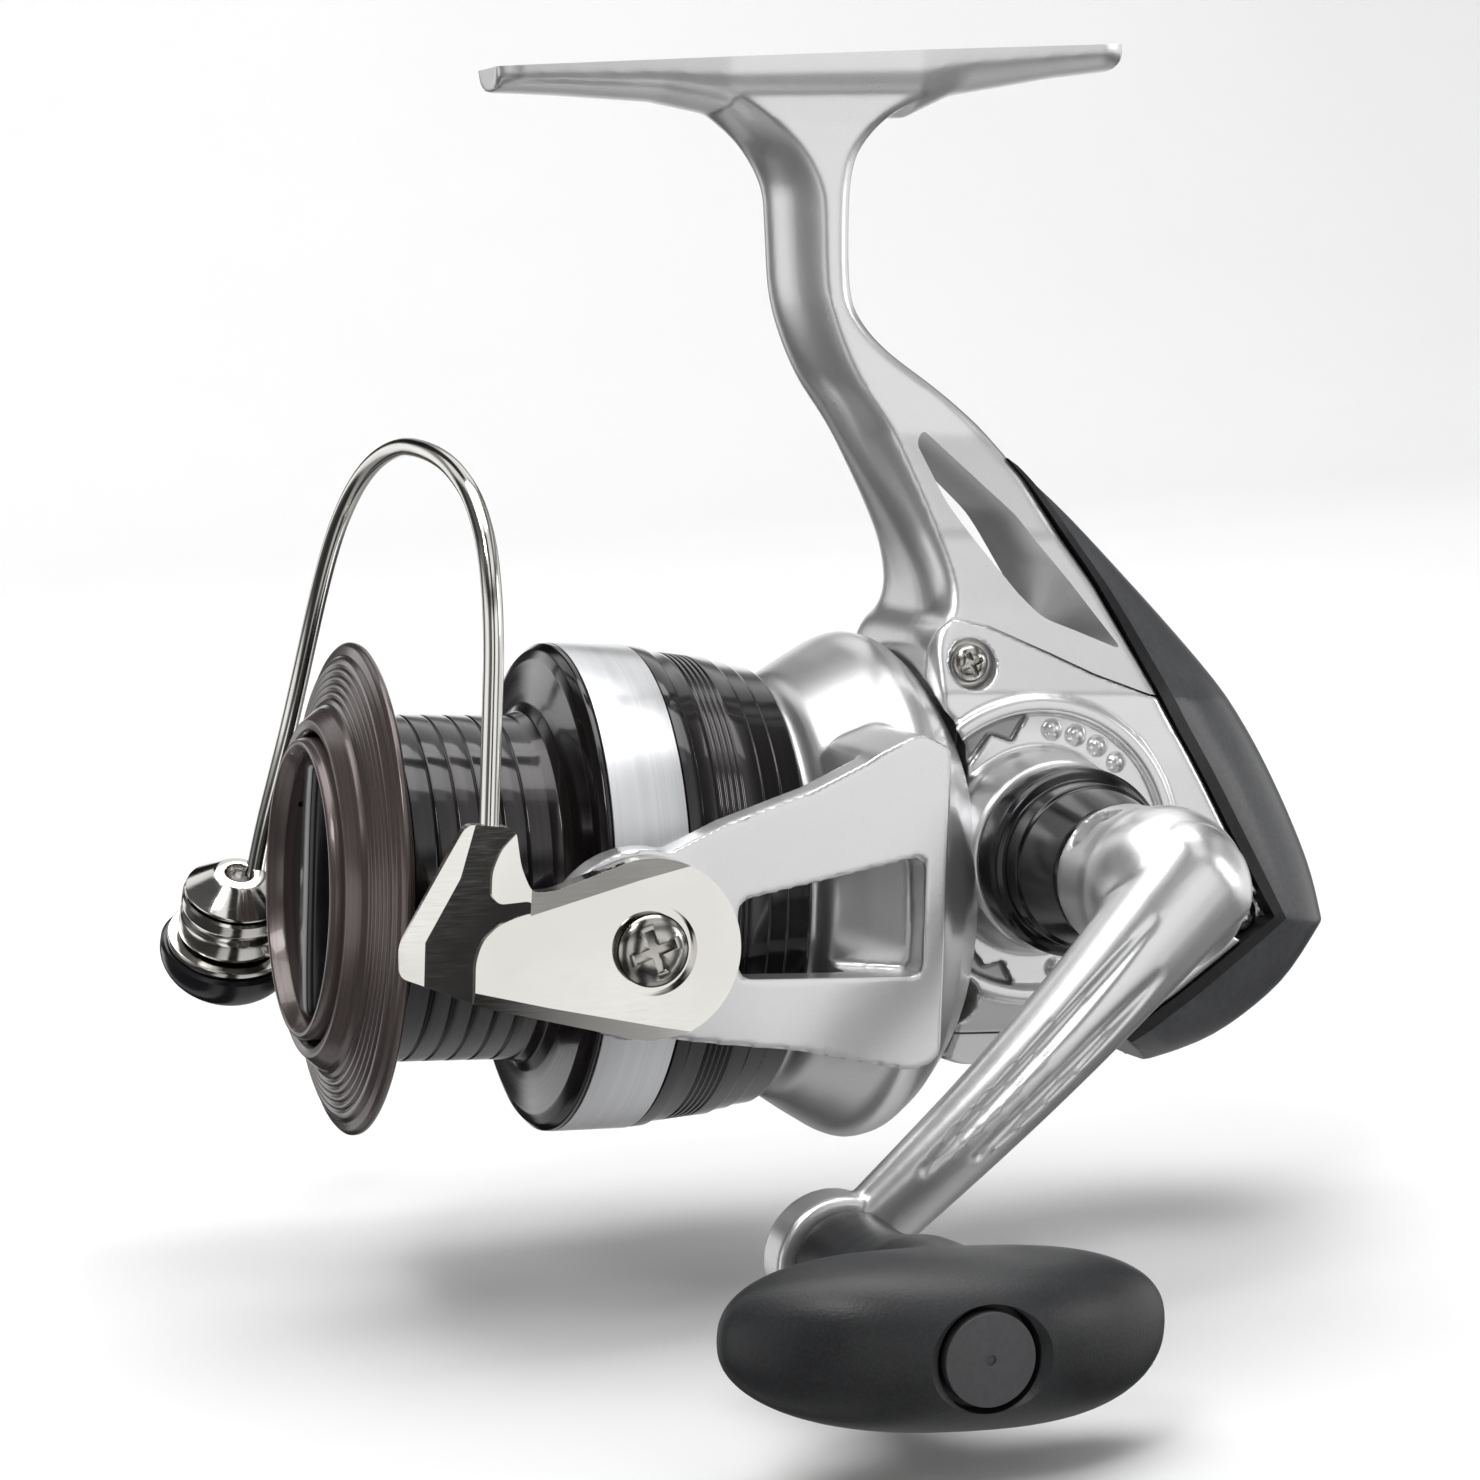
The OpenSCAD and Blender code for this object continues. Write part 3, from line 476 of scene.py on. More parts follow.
def silver_paint(name, tone, dial=False):
    """Satin paint with metal flakes under a thin clear coat. The cover's sunken dial marks are darker."""
    n = Nodes(name, Metallic=0.88, Coat_Weight=0.3, Coat_Roughness=0.2)
    flakes = n.add("ShaderNodeTexVoronoi", {"Vector": n.place, "Scale": 14000.0}).outputs["Color"]
    sparkle = n.add("ShaderNodeSeparateColor", {"Color": flakes}).outputs["Red"]
    cloud = n.noise(140.0, 4.0)
    mixed = n.sum(n.ramp(sparkle, 0, 0.5), n.ramp(cloud, 0, 0.5, 0.3, 0.7))
    color = n.tint(mixed, (tone - 0.05, tone - 0.05, tone - 0.045), (tone + 0.04, tone + 0.042, tone + 0.045))
    if dial:
        sunken = n.ramp(n.axial(centre, across), 0, 1, DIAL_SINK, DIAL_SINK + 0.00035)
        inside = n.ramp(n.radial(crank_point, across), 1, 0, DIAL_R, DIAL_R + 0.0003)
        color = mix(n.tree, n.sum(sunken, inside, "MULTIPLY"), color, DIAL_GREY)
    n.link(color, "Base Color")
    n.link(n.ramp(n.sum(sparkle, cloud), 0.27, 0.35, 0.3, 1.6), "Roughness")
    n.bump(n.sum(sparkle, n.ramp(n.noise(1100.0), 0, 0.6)), 0.014, 0.00003)
    return n.material


def polished_nickel(name, color=(0.80, 0.785, 0.75), roughness=0.06):
    """Bright plating with faint wiping marks and a little dulling."""
    n = Nodes(name, Metallic=1.0)
    marks = n.noise(420.0, 6.0, n.stretched((1.0, 1.0, 14.0)))
    haze = n.noise(70.0, 3.0)
    dulled = tuple(value * 0.88 for value in color)
    n.link(n.tint(n.ramp(haze, 0, 1, 0.35, 0.65), dulled, color), "Base Color")
    n.link(n.ramp(n.sum(marks, haze, "MULTIPLY"), roughness, roughness + 0.16, 0.12, 0.5), "Roughness")
    n.bump(marks, 0.03, 0.00004)
    return n.material


def turned_gloss(name, dark, light, lines, roughness, metallic, bump=0.22):
    """Lacquer over a turned surface."""
    n = Nodes(name, Metallic=metallic, Coat_Weight=0.5, Coat_Roughness=0.06)
    rings = n.rings(lines)
    broad = n.rings(lines / 9)
    n.link(n.tint(n.ramp(n.sum(rings, broad), 0, 1, 0.7, 1.3), dark, light), "Base Color")
    n.link(n.ramp(broad, roughness - 0.05, roughness + 0.09, 0.3, 0.7), "Roughness")
    n.bump(rings, bump, 0.00006)
    return n.material


def moulded(name, dark, light, roughness, grain=2600.0, strength=0.12, coat=0.0):
    """Moulded plastic or soft-touch rubber with a fine grain."""
    n = Nodes(name, Metallic=0.0, Coat_Weight=coat, Coat_Roughness=0.12)
    speck = n.noise(grain, 5.0)
    cloud = n.noise(90.0, 3.0)
    n.link(n.tint(n.ramp(n.sum(speck, cloud), 0, 1, 0.7, 1.3), dark, light), "Base Color")
    n.link(n.ramp(cloud, roughness - 0.05, roughness + 0.07, 0.3, 0.7), "Roughness")
    n.bump(speck, strength, 0.0001)
    return n.material


def machined(name, color, roughness=0.28):
    """Cut metal for the parts inside."""
    n = Nodes(name, Metallic=1.0)
    lines = n.noise(900.0, 5.0, n.stretched((1.0, 9.0, 1.0)))
    n.link(n.tint(lines, tuple(value * 0.8 for value in color), color), "Base Color")
    n.link(n.ramp(lines, roughness - 0.08, roughness + 0.12, 0.3, 0.7), "Roughness")
    n.bump(lines, 0.08, 0.00005)
    return n.material


body_paint = silver_paint("body_silver", 0.78)
cover_paint = silver_paint("cover_silver", 0.78, True)
rotor_paint = silver_paint("rotor_silver", 0.8)
handle_paint = silver_paint("handle_silver", 0.8)
nickel = polished_nickel("polished_nickel")
screw_nickel = polished_nickel("screw_nickel", (0.46, 0.445, 0.42), 0.12)
flange_finish = turned_gloss("flange_brown", (0.075, 0.057, 0.055), (0.135, 0.108, 0.104), 2600.0, 0.24, 0.55)
spool_finish = turned_gloss("spool_black", (0.006, 0.005, 0.005), (0.02, 0.016, 0.016), 2200.0, 0.12, 0.5)
band_finish = turned_gloss("band_silver", (0.60, 0.605, 0.62), (0.76, 0.765, 0.78), 3200.0, 0.3, 0.9, 0.12)
guard_finish = moulded("guard_grey", (0.036, 0.037, 0.040), (0.060, 0.061, 0.066), 0.36, 1800.0, 0.06, 0.2)
trim_finish = moulded("trim_black", (0.006, 0.006, 0.007), (0.014, 0.014, 0.016), 0.3, 1800.0, 0.05)
gloss_black = moulded("gloss_black", (0.004, 0.004, 0.005), (0.010, 0.010, 0.012), 0.16, 900.0, 0.02, 0.1)
soft_touch = moulded("soft_touch", (0.011, 0.0115, 0.013), (0.022, 0.023, 0.025), 0.4, 3600.0, 0.25)
grey_gloss = moulded("grey_plastic", (0.045, 0.045, 0.048), (0.062, 0.062, 0.066), 0.42, 1500.0, 0.05)
cut_steel = machined("cut_steel", (0.58, 0.58, 0.6))
cut_brass = machined("cut_brass", (0.72, 0.55, 0.27), 0.24)
cast_alloy = machined("cast_alloy", (0.55, 0.53, 0.5), 0.42)
seal_rubber = moulded("seal_rubber", (0.014, 0.014, 0.014), (0.026, 0.026, 0.026), 0.6)
felt = moulded("oiled_felt", (0.16, 0.14, 0.11), (0.3, 0.27, 0.22), 0.85, 3000.0, 0.6)

# ---------- housing ----------

HALF_WIDTHS = [
    (-18, 9.4), (-17, 10.4), (-13.4, 12.9), (-9.5, 13.6), (14, 13.6), (20.6, 13.2), (29, 9.8), (36, 7.2),
    (46, 5.6), (60, 5.1), (76, 5.1), (82, 5.5),
]
STEM_FRONT = [
    (82, -42), (79.6, -38), (77, -33.2), (74, -29.2), (70, -26.6), (66, -26), (60, -25.4), (55.8, -24.2),
    (51.3, -22), (46.9, -18.8), (42.5, -16), (38, -13.3), (34, -11.2), (30.5, -10), (28, -10),
]
HOUSING_FRONT = [(26.5, -11.2), (25, -11.5), (-13.4, -11.5), (-15.6, -10.6), (-17.3, -6)]
STEM_BACK = [
    (82, -6), (79, -11.5), (77, -14.8), (74, -17.4), (71, -18.3), (66, -18.4), (60, -18), (57, -16.8),
    (54, -13.8), (50.4, -8.4), (46.5, -3.4), (41.8, 1),
]
HOUSING_BACK = [(31.3, 8), (20.2, 13.7), (12, 18.8), (2.8, 24.2), (-2.1, 27.2), (-14.4, 11.2), (-17.3, 7)]
TOP_Z = 79.5
BOTTOM_Z = -17.2


def half_width(z):
    return look_up(HALF_WIDTHS, z)


def side_line(x0, x1, y, z):
    """Points along a flat side of the housing, without its ends."""
    return [Vector((x0 + (x1 - x0) * k / 12, y, z)) for k in range(1, 12)]


def housing_ring(z, front, back):
    """Level section: squarer in the housing, round at the leg's front with a crease to its flat sides."""
    x0 = look_up(front, z)
    x1 = look_up(back, z)
    wide = half_width(z)
    leg = min(max((z - 24) / 22, 0), 1)
    nose = min(1.4 + leg * 3.2, (x1 - x0) * (0.45 + 0.15 * leg))
    heel = min(1.0 + leg * 0.6, (x1 - x0) * 0.3)
    crease = 0.75 * leg
    square = 0.45 + 0.55 * leg
    ring = []
    for k in range(17):
        angle = crease + (pi - 2 * crease) * k / 16
        bulge = (sin(angle) - sin(crease)) / (1 - sin(crease))
        aside = cos(angle) / cos(crease)
        ring.append(Vector((x0 + nose * (1 - bulge), -wide * power(aside, square), z)))
    ring += side_line(x0 + nose, x1 - heel, wide, z)
    for k in range(9):
        angle = pi * k / 8
        ring.append(Vector((x1 - heel * (1 - sin(angle)), wide * power(cos(angle), 0.4), z)))
    return ring + side_line(x0 + nose, x1 - heel, -wide, z)[::-1]


def housing_loft():
    front = sorted([tuple(point) for point in curve(STEM_FRONT)] + HOUSING_FRONT)
    back = sorted([tuple(point) for point in curve(STEM_BACK)] + HOUSING_BACK)
    levels = [BOTTOM_Z + (TOP_Z - BOTTOM_Z) * k / 110 for k in range(111)]
    return skin("housing_loft", [housing_ring(z, front, back) for z in levels])


SEAT_SPARE = 2
FOOT_HALF = 32.8
FOOT_DEPTHS = [(-1, 1.9), (-0.8, 2.4), (-0.5, 3.4), (-0.3, 5), (0.3, 6), (0.45, 4), (0.8, 2.6), (1, 2.1)]
FOOT_WIDTHS = [(-1, 3.6), (-0.95, 4.3), (-0.3, 6.3), (0.3, 6.4), (0.95, 4.6), (1, 3.8)]


def foot_blank():
    """The foot: half-round below and thin at both tips. It stands above the seat, to be cut."""
    rings = []
    for k in range(61):
        share = -1 + 2 * k / 60
        x = share * FOOT_HALF * MM
        wide = look_up(FOOT_WIDTHS, share)
        thick = look_up(FOOT_DEPTHS, share)
        ring = []
        for i in range(17):
            angle = pi * i / 16
            depth = -thick * MM * sin(angle) ** 0.8 - 0.0004 * (0 < i < 16)
            ring.append(Vector((x, wide * cos(angle) * MM, depth)))
        ring += [Vector((x, y * MM, SEAT_SPARE * MM)) for y in (-wide, wide)]
        rings.append([TO_REEL @ point for point in ring])
    return skin("foot_blank", rings)


def seat_block():
    """Everything above the foot's seat plane."""
    corners = ((-40, 0), (40, 0), (40, 12), (-40, 12))
    return skin("seat_block", [[TO_REEL @ (Vector((x, y, z)) * MM) for x, z in corners] for y in (-15, 15)])


WINDOW = [
    (-10.6, 46.4), (-11.3, 45), (-8.2, 39.2), (-4.4, 34.4), (-1.2, 30.4), (1.2, 28), (4.6, 26.8),
    (9.6, 24.9), (4.6, 31.6), (-0.6, 38),
]
COVER_TOP = [(-11.8, 27.9), (-8.5, 28), (-4.8, 27.2), (1.8, 24.5), (6.2, 22.6), (11.8, 20.7), (14.1, 20.3)]
COVER_BACK = [(18.8, 12.2), (24.3, 3.1), (27.3, -2.1)]
COVER_OUTLINE = COVER_TOP + COVER_BACK + [(11.9, -13.6), (-11.8, -13.6)]
COVER_SCREWS = [(-6.9, 23.4), (24, -2), (-8.2, -10)]
COVER_Y = -13.6
SPLIT_Y = -10


ROTOR_SPACE = [
    (17.5, -31), (17.5, -7.6), (19.8, -7.6), (21.7, -8.8), (25.7, -13.4), (26.4, -16.2), (26.4, -31),
]
GEAR_ROOM = [
    (-9, 12.2), (-5.4, 13.2), (-5.2, 24.8), (1.2, 22.2), (6, 20.2), (12, 18), (16.2, 11), (20.6, 2.2),
    (21.6, -1), (10.2, -12.6), (-5.4, -12.6), (-9, -11.2),
]
BOSS = [(0, -12), (10.3, -12), (10.3, -14.2), (9.9, -15.2), (9.6, -20.1), (9.3, -20.4), (0, -20.4)]
DIAL_IN = 13.75
DIAL_RING = [(DIAL_IN, 0.8), (DIAL_IN, -0.4), (14.0, -0.75), (15.1, -0.75), (15.4, -0.4), (15.4, 0.8)]


def rotor_space():
    return lathe("rotor_space", ROTOR_SPACE, spool_place, 120)


def housing_shell():
    shell = housing_loft()
    nose = lathe("nose", [(0, -20.5), (15, -20.5), (15.5, -20), (15.5, -10), (0, -10)], spool_place, 96)
    unite(shell, [foot_blank(), nose])
    cut(shell, rotor_space())
    soften(shell, 0.32, 4)
    window = prism("window", rounded(WINDOW, 1.2, 6), -20, 20)
    return close_slivers(cut(shell, [window, seat_block()]))


def housing():
    shell = housing_shell()
    cover = bpy.data.objects.new("cover", shell.data.copy())
    bpy.context.scene.collection.objects.link(cover)
    recess = prism("recess", COVER_OUTLINE, -30, SPLIT_Y)
    cut(shell, [recess, prism("room", GEAR_ROOM, SPLIT_Y - 1, 10.8)])
    deliver(shell, "frame", body_paint, ["body_frame"], 40)
    shell.name = "housing"

    inset = rounded(shrink(COVER_OUTLINE, 0.16), 0.8)
    combine(cover, prism("outline", inset, -30, SPLIT_Y - 0.02), "INTERSECT")
    ring = lathe("dial_ring", [(radius, COVER_Y + y) for radius, y in DIAL_RING], ON_CRANK)
    cut(ring, rotor_space())
    clip = prism("clip", [(-10.9, 26), (23, 26), (23, -12.4), (-10.9, -12.4)], -20, 0)
    combine(ring, clip, "INTERSECT")
    dots = [dot(angle) for angle in DOT_ANGLES]
    unite(cover, [ring, turned("boss", BOSS, ON_CRANK, 0.25)] + dots)
    seat = [(0, -22), (2.75, -22), (2.55, -13.4), (2.5, -10.7), (0, -10.7)]
    seats = [lathe("seat", seat, cross_place(at), 48) for at in COVER_SCREWS]
    cut(cover, [dart(UPPER_DART), dart(LOWER_DART)] + seats)
    soften(cover, 0.2, 2)
    holes = [bore(4.6, -22, -8, ON_CRANK, 64), bore(6.5, -19.2, -8, ON_CRANK, 64)]
    cut(cover, holes)
    deliver(cover, "frame", cover_paint, ["side_cover"])


def polar(radius, degrees):
    """Point of the dial, by its distance from the crank's axis and its angle."""
    return (radius * cos_deg(degrees), HANDLE_Z + radius * sin_deg(degrees))


DOT_R = 0.8
DOT_HEIGHT = 0.6
DOT_ANGLES = (84, 71.5, 59, 46.5, -78, -66)


def dot(angle):
    """Small dome on the dial."""
    base = COVER_Y + 0.5
    arc = [(DOT_R * cos_deg(a), COVER_Y - DOT_HEIGHT * sin_deg(a)) for a in range(0, 90, 15)]
    profile = [(0, base), (DOT_R, base)] + arc + [(0, COVER_Y - DOT_HEIGHT)]
    return lathe("dot", profile, cross_place(polar(12.1, angle)), 24)


UPPER_DART = [(DIAL_IN, 95), (11.1, 105), (12.6, 114.5), (11.2, 133), (12.7, 140), (DIAL_IN, 142)]
LOWER_DART = [(DIAL_IN, -97), (11.5, -105), (12.6, -113), (11.2, -135), (12.7, -142), (DIAL_IN, -144)]


def dart(corners):
    """Shallow notched recess in the dial, closed by the ring's inner edge."""
    first = corners[0][1]
    last = corners[-1][1]
    outline = [polar(*corner) for corner in corners]
    outline += [polar(DIAL_IN, last + (first - last) * k / 6) for k in range(1, 6)]
    return prism("dart", rounded(outline, 0.3), COVER_Y - 2, COVER_Y + 0.7)


def shrink(outline, amount):
    """Moves each corner of an outline inwards along the bisector of its sides."""
    points = [Vector(point) for point in outline]
    area = sum(a.x * b.y - b.x * a.y for a, b in zip(points, points[1:] + points[:1]))
    turn = 1 if area > 0 else -1
    result = []
    for i, point in enumerate(points):
        before = (point - points[i - 1]).normalized().orthogonal() * turn
        after = (points[(i + 1) % len(points)] - point).normalized().orthogonal() * turn
        inward = (before + after).normalized()
        lean = max(inward.dot(before), 0.4)
        result.append(point + inward * amount / lean)
    return result


# ---------- rear guard ----------

GUARD_INNER = [
    (-1.2, 43.6), (2, 40), (8, 31.3), (13.7, 20.2), (18.7, 12), (24.2, 2.8), (27.2, -2.1), (22.2, -6),
    (16.4, -10.4), (11.2, -14.4),
]
GUARD_OUTER = [
    (0.4, 42.6), (8, 37), (17.6, 28), (25, 20), (30.4, 12), (35, 3), (37, -3.6), (32.6, -10.4), (25, -15.9),
    (17.2, -18.4),
]


def guard_line(points):
    """Curve with a corner at its seventh point."""
    return curve(points[:7])[:-1] + curve(points[6:])


def guard_ring(inner, outer):
    """Section of the guard: flat towards the housing, rounded over the back edge."""
    wide = half_width(inner.y) - 0.05
    ring = []
    for k in range(29):
        angle = pi * (k / 28 - 0.5)
        out = abs(cos(angle)) ** 0.72
        point = inner.lerp(outer, out)
        ring.append(Vector((point.x, wide * power(sin(angle), 0.8) * (1 - 0.2 * out), point.y)))
    return ring


def trim_ring(inner, outer):
    """Section of the thin black step between the housing and the guard."""
    wide = half_width(inner.y) + 0.08
    reach = (outer - inner).length
    edge = inner.lerp(outer, min(1.1 / reach, 0.5))
    back = inner.lerp(outer, -0.35 / reach)
    return [Vector((back.x, -wide, back.y)), Vector((edge.x, -wide * 0.985, edge.y)),
            Vector((edge.x, wide * 0.985, edge.y)), Vector((back.x, wide, back.y))]


def rear_guard():
    lines = list(zip(guard_line(GUARD_INNER), guard_line(GUARD_OUTER)))
    guard = skin("guard", [guard_ring(*pair) for pair in lines])
    soften(guard, 0.4, 4)
    deliver(guard, "frame", guard_finish, ["rear_guard"], 60)
    trim = skin("guard_trim", [trim_ring(*pair) for pair in lines])
    deliver(trim, "frame", trim_finish)


# ---------- screws ----------


def pan_screw(name, at, y, radius, height, turn, shank, shank_len):
    """Screw seen from the handle's side, with its head's top at y and a cross for the driver."""
    end = y + height + shank_len
    profile = [(0, y), (radius * 0.45, y + height * 0.04), (radius * 0.8, y + height * 0.24),
               (radius * 0.96, y + height * 0.55), (radius, y + height * 0.8),
               (radius * 0.97, y + height), (shank, y + height), (shank, end), (0, end)]
    screw = lathe(name, profile, cross_place(at), 64)
    reach = radius * 0.6
    half = radius * 0.27 / 2
    for angle in (turn, turn + 90):
        spin = Matrix.Rotation(radians(angle), 2)
        corners = [(-reach, -half), (reach, -half), (reach, half), (-reach, half)]
        outline = [spin @ Vector(corner) + Vector(at) for corner in corners]
        cut(screw, prism("bar", outline, y - 5, y + height * 0.62))
    return bevel(screw, 0.07, 2, 40)


def join(name, pieces):
    whole = pieces[0]
    base = bmesh.new()
    for piece in pieces:
        base.from_mesh(piece.data)
    base.to_mesh(whole.data)
    base.free()
    for piece in pieces[1:]:
        bpy.data.objects.remove(piece)
    whole.name = name
    return whole


def screws():
    heads = [pan_screw("screw", at, -12.1, 1.95, 1.3, turn, 1.05, 6)
             for at, turn in zip(COVER_SCREWS, (25, 65, 105))]
    deliver(join("cover_screw_set", heads), "frame", screw_nickel, ["cover_screws"])
    for side, turn in (("near", 22), ("far", 50)):
        screw = pan_screw(side + "_pivot_screw", (PIVOT.x, PIVOT.z), -32.4, 3.45, 1.25, turn, 2.2, 3.6)
        if side == "far":
            mirrored(screw)
        deliver(screw, "rotor", screw_nickel, ["bail_screw_" + side])


# ---------- rotor ----------

ROTOR_SKIN = [
    (17.8, -24.2), (17.8, -44), (19.6, -44), (19.6, -25.2), (21.3, -24.2), (23.2, -21.2), (25.2, -17.8),
    (25.8, -16), (25.3, -13.8), (23.4, -11.4), (21.2, -9.6), (19.4, -8.3), (18.2, -8.3), (18.3, -9.8),
    (19.9, -11.7), (22.7, -15.4), (22.6, -17.2), (18.4, -21.5), (3.1, -21.5), (3.1, -27.5), (7, -27.5),
    (7, -24.2),
]
ARM_OUTLINE = [
    (-15.6, 16.4), (-18.8, 18.1), (-23.9, 15.4), (-29.5, 12.6), (-37.9, 9.5), (-43, 7), (-47, 5), (-47, -8),
    (-43, -10.6), (-37.2, -11.3), (-30.1, -12), (-18.1, -14.3), (-15.6, -13),
]
ARM_WINDOW = [(-28.4, 4), (-17.8, 6.4), (-17.6, -5.1), (-36, -5.1), (-36.4, 2.2)]
ARM_ROOT = [(-15.4, 16.6), (-18.8, 18.1), (-23.9, 15.6), (-24.4, -13), (-18.1, -14.3), (-15.4, -13)]
ROTOR_HOLLOW = [
    (0, -21.4), (18.3, -21.4), (22.5, -17.1), (22.6, -15.4), (19.8, -11.7), (18.2, -9.8), (18.1, -5),
    (0, -5),
]
ARM_OUT = 28.6
ARM_IN = 25.0


def rotor_arm():
    arm = prism("arm", rounded(ARM_OUTLINE, 1.5), -ARM_OUT, -ARM_IN)
    root = prism("root", rounded(ARM_ROOT, 1.2), -ARM_OUT, -16)
    unite(arm, [disc("head", 9, -ARM_OUT, -ARM_IN, 96), root])
    cut(arm, prism("window", rounded(ARM_WINDOW, 1.3), -30, -20.6))
    return bevel(arm, 0.9, 2, 50)


def rotor():
    cup = lathe("rotor_body", rounded_pairs(ROTOR_SKIN, 0.8, 4), spool_place, 180)
    unite(cup, [rotor_arm(), mirrored(rotor_arm())])
    cut(cup, lathe("hollow", ROTOR_HOLLOW, spool_place, 120))
    soften(cup, 0.34, 3)
    holes = [bore(2.25, side * 24, side * 30, ON_PIVOT) for side in (-1, 1)]
    cut(cup, holes)
    deliver(cup, "rotor", rotor_paint, ["rotor"], 45)


# ---------- spool ----------

DRUM_R = 17.0


def rounded_pairs(profile, radius=0.12, steps=2):
    return [tuple(point) for point in rounded(profile, radius, steps)]


def vee_grooves(start, end, depth, width):
    """Five small V grooves along a straight stretch of a (radius, x) outline, with its ends."""
    start = Vector(start)
    end = Vector(end)
    run = (end - start).normalized()
    down = Vector((run.y, -run.x))
    if down.x > 0:
        down = -down
    result = [start]
    for k in range(1, 6):
        middle = start.lerp(end, k / 6)
        result += [middle - run * width, middle + down * depth, middle + run * width]
    return [tuple(point) for point in result + [end]]


def spool():
    face = [(15.2, -63.5), (15.2, -70.3), (15.5, -70.8), (16.4, -70.9), (17.6, -69.6)]
    face += vee_grooves((17.9, -69), (22.4, -67.9), 0.22, 0.22)
    face += [(22.7, -67.5), (23.6, -67.3), (24, -66.95), (24, -66.55), (23.6, -66.25), (20.5, -65.85),
             (18.4, -65.6), (17.5, -65.1), (17.1, -64.4), (DRUM_R - 0.6, -64.2), (DRUM_R - 0.6, -63.5)]
    flange = lathe("flange", rounded_pairs(face), spool_place, 256)
    deliver(flange, "spool", flange_finish, (), 28)

    body = [(3.05, -57), (11.5, -57), (11.5, -63.4), (DRUM_R - 0.05, -63.4)]
    body += vee_grooves((DRUM_R, -64.3), (DRUM_R, -50.9), 0.16, 0.14)
    body += [(17.3, -49.8), (18.2, -49.1), (19.4, -48.8), (22.5, -48.45), (23.5, -48.1), (24.15, -47.5),
             (24.2, -47.05), (23.6, -46.98), (23.6, -39.42), (24.02, -39.36), (23.95, -37.9), (23.6, -37.7)]
    body += vee_grooves((23.5, -36.4), (23.1, -32.7), 0.2, 0.16)
    body += [(23.0, -31.3), (22.7, -31.1), (22.5, -29.3), (22.25, -29.1), (22.0, -26.9), (21.7, -26.5),
             (20.5, -26.5), (20.5, -45.8), (14.6, -45.8), (14.6, -54.5), (6.4, -54.5), (6.4, -45.3),
             (3.05, -45.3)]
    drum = lathe("spool_body", rounded_pairs(body), spool_place, 256)
    deliver(drum, "spool", spool_finish, ["spool"], 28)

    edge = [(23.62, -46.9), (24.2, -46.9), (24.1, -39.5), (23.62, -39.5)]
    band = turned("skirt_band", edge, spool_place, 0.1, 256)
    deliver(band, "spool", band_finish, ["spool_band"], 28)


def drag_knob():
    face = [(0, -60.75), (6.6, -60.75), (6.6, -63.9), (13.6, -63.9), (13.6, -66.4), (0, -66.4)]
    core = turned("knob_core", face, spool_place, 0.15, 180)
    rings = []
    for k in range(17):
        s = k / 8 - 1
        top = [Vector((-71.2 + 0.25 * abs(s) ** 3, y * (1 - 0.12 * abs(s)), 12.5 * s)) for y in (-2.5, 2.5)]
        rings.append(top + [Vector((-66, y * 1.15, 12.5 * s)) for y in (2.5, -2.5)])
    bar = bevel(skin("grip_bar", rings), 0.7, 3, 50)
    unite(core, bar)
    cut(core, bore(3.1, -65.4, -60, spool_place))
    deliver(core, "drag", gloss_black, ["drag_knob"], 30)

    edge = [(13.62, -63.9), (14.7, -63.9), (14.7, -71.3), (14.4, -71.9), (13.9, -71.9), (13.4, -70.6),
            (13.3, -70.3), (13.0, -66.5), (13.62, -66.4)]
    rim = turned("knob_rim", edge, spool_place, 0.15, 180)
    for angle in (32, 46, 62):
        outward = Vector((0, cos_deg(angle), sin_deg(angle)))
        start = Vector((-69.1, 0, 0)) + outward * 12
        cut(rim, tube("dot", [start, start + outward, start + outward * 2.1], 0.36, 16))
    deliver(rim, "drag", flange_finish, (), 30)


# ---------- bail ----------

LEVER_IN = 28.9
LEVER_OUT = 31.5
LEVER_END_R = 8.5
HOLDER_OUTLINE = [
    (-63.2, 9.8), (-58.9, 9.6), (-58.3, 6), (-57.2, 3.6), (-55, 3.7), (-50, 5.6), (-46.9, 6.6), (-43, 3),
    (-44, -8.5), (-47, -10.1), (-61, -7), (-67.2, -4.8), (-68.8, -4.3), (-68.9, -1.3),
]
WIRE_PATH = [
    (-61, -29.9, 5.4), (-61, -29.9, 9.5), (-61, -29.9, 15), (-61, -29.9, 20.5), (-61.05, -29.9, 26),
    (-61.2, -29.2, 31), (-61.4, -27.4, 35.3), (-61.7, -24, 38.8), (-62, -19.4, 41), (-62.2, -14, 42.3),
    (-62.4, -7.5, 43), (-62.6, -1, 43.1), (-62.9, 5, 42.3), (-63.2, 10.6, 40.7), (-63.5, 15.6, 38.3),
    (-63.8, 20.2, 35), (-64, 24, 31.3), (-64.2, 27.4, 27), (-64.5, 30.1, 22.4), (-65, 32, 17.6),
    (-65.8, 33, 12.6), (-66.9, 33.2, 7.6), (-68, 33, 3), (-68.8, 32.6, -0.6), (-69.3, 32.2, -3.2),
]


FAR_OUTLINE = [
    (-47.5, 5.5), (-63, -9.5), (-64.2, -13.5), (-62.4, -17.2), (-57, -17), (-43.6, -9.4), (-42, -2),
]
FOOT_LINE = [(-68.5, -3.7), (-62.2, -5.4), (-55.2, -6.9), (-44.4, -8.9), (-38, -9.9)]
TOP_LINE = [(-57.3, 1.4), (-46.9, 4.6), (-42, 5.9), (-36, 6.6)]
WIRE_END = [(1.5, -2.6), (5.4, -2.6), (5.4, -2.3), (3.0, -0.4), (2.6, -0.1), (1.5, 0)]
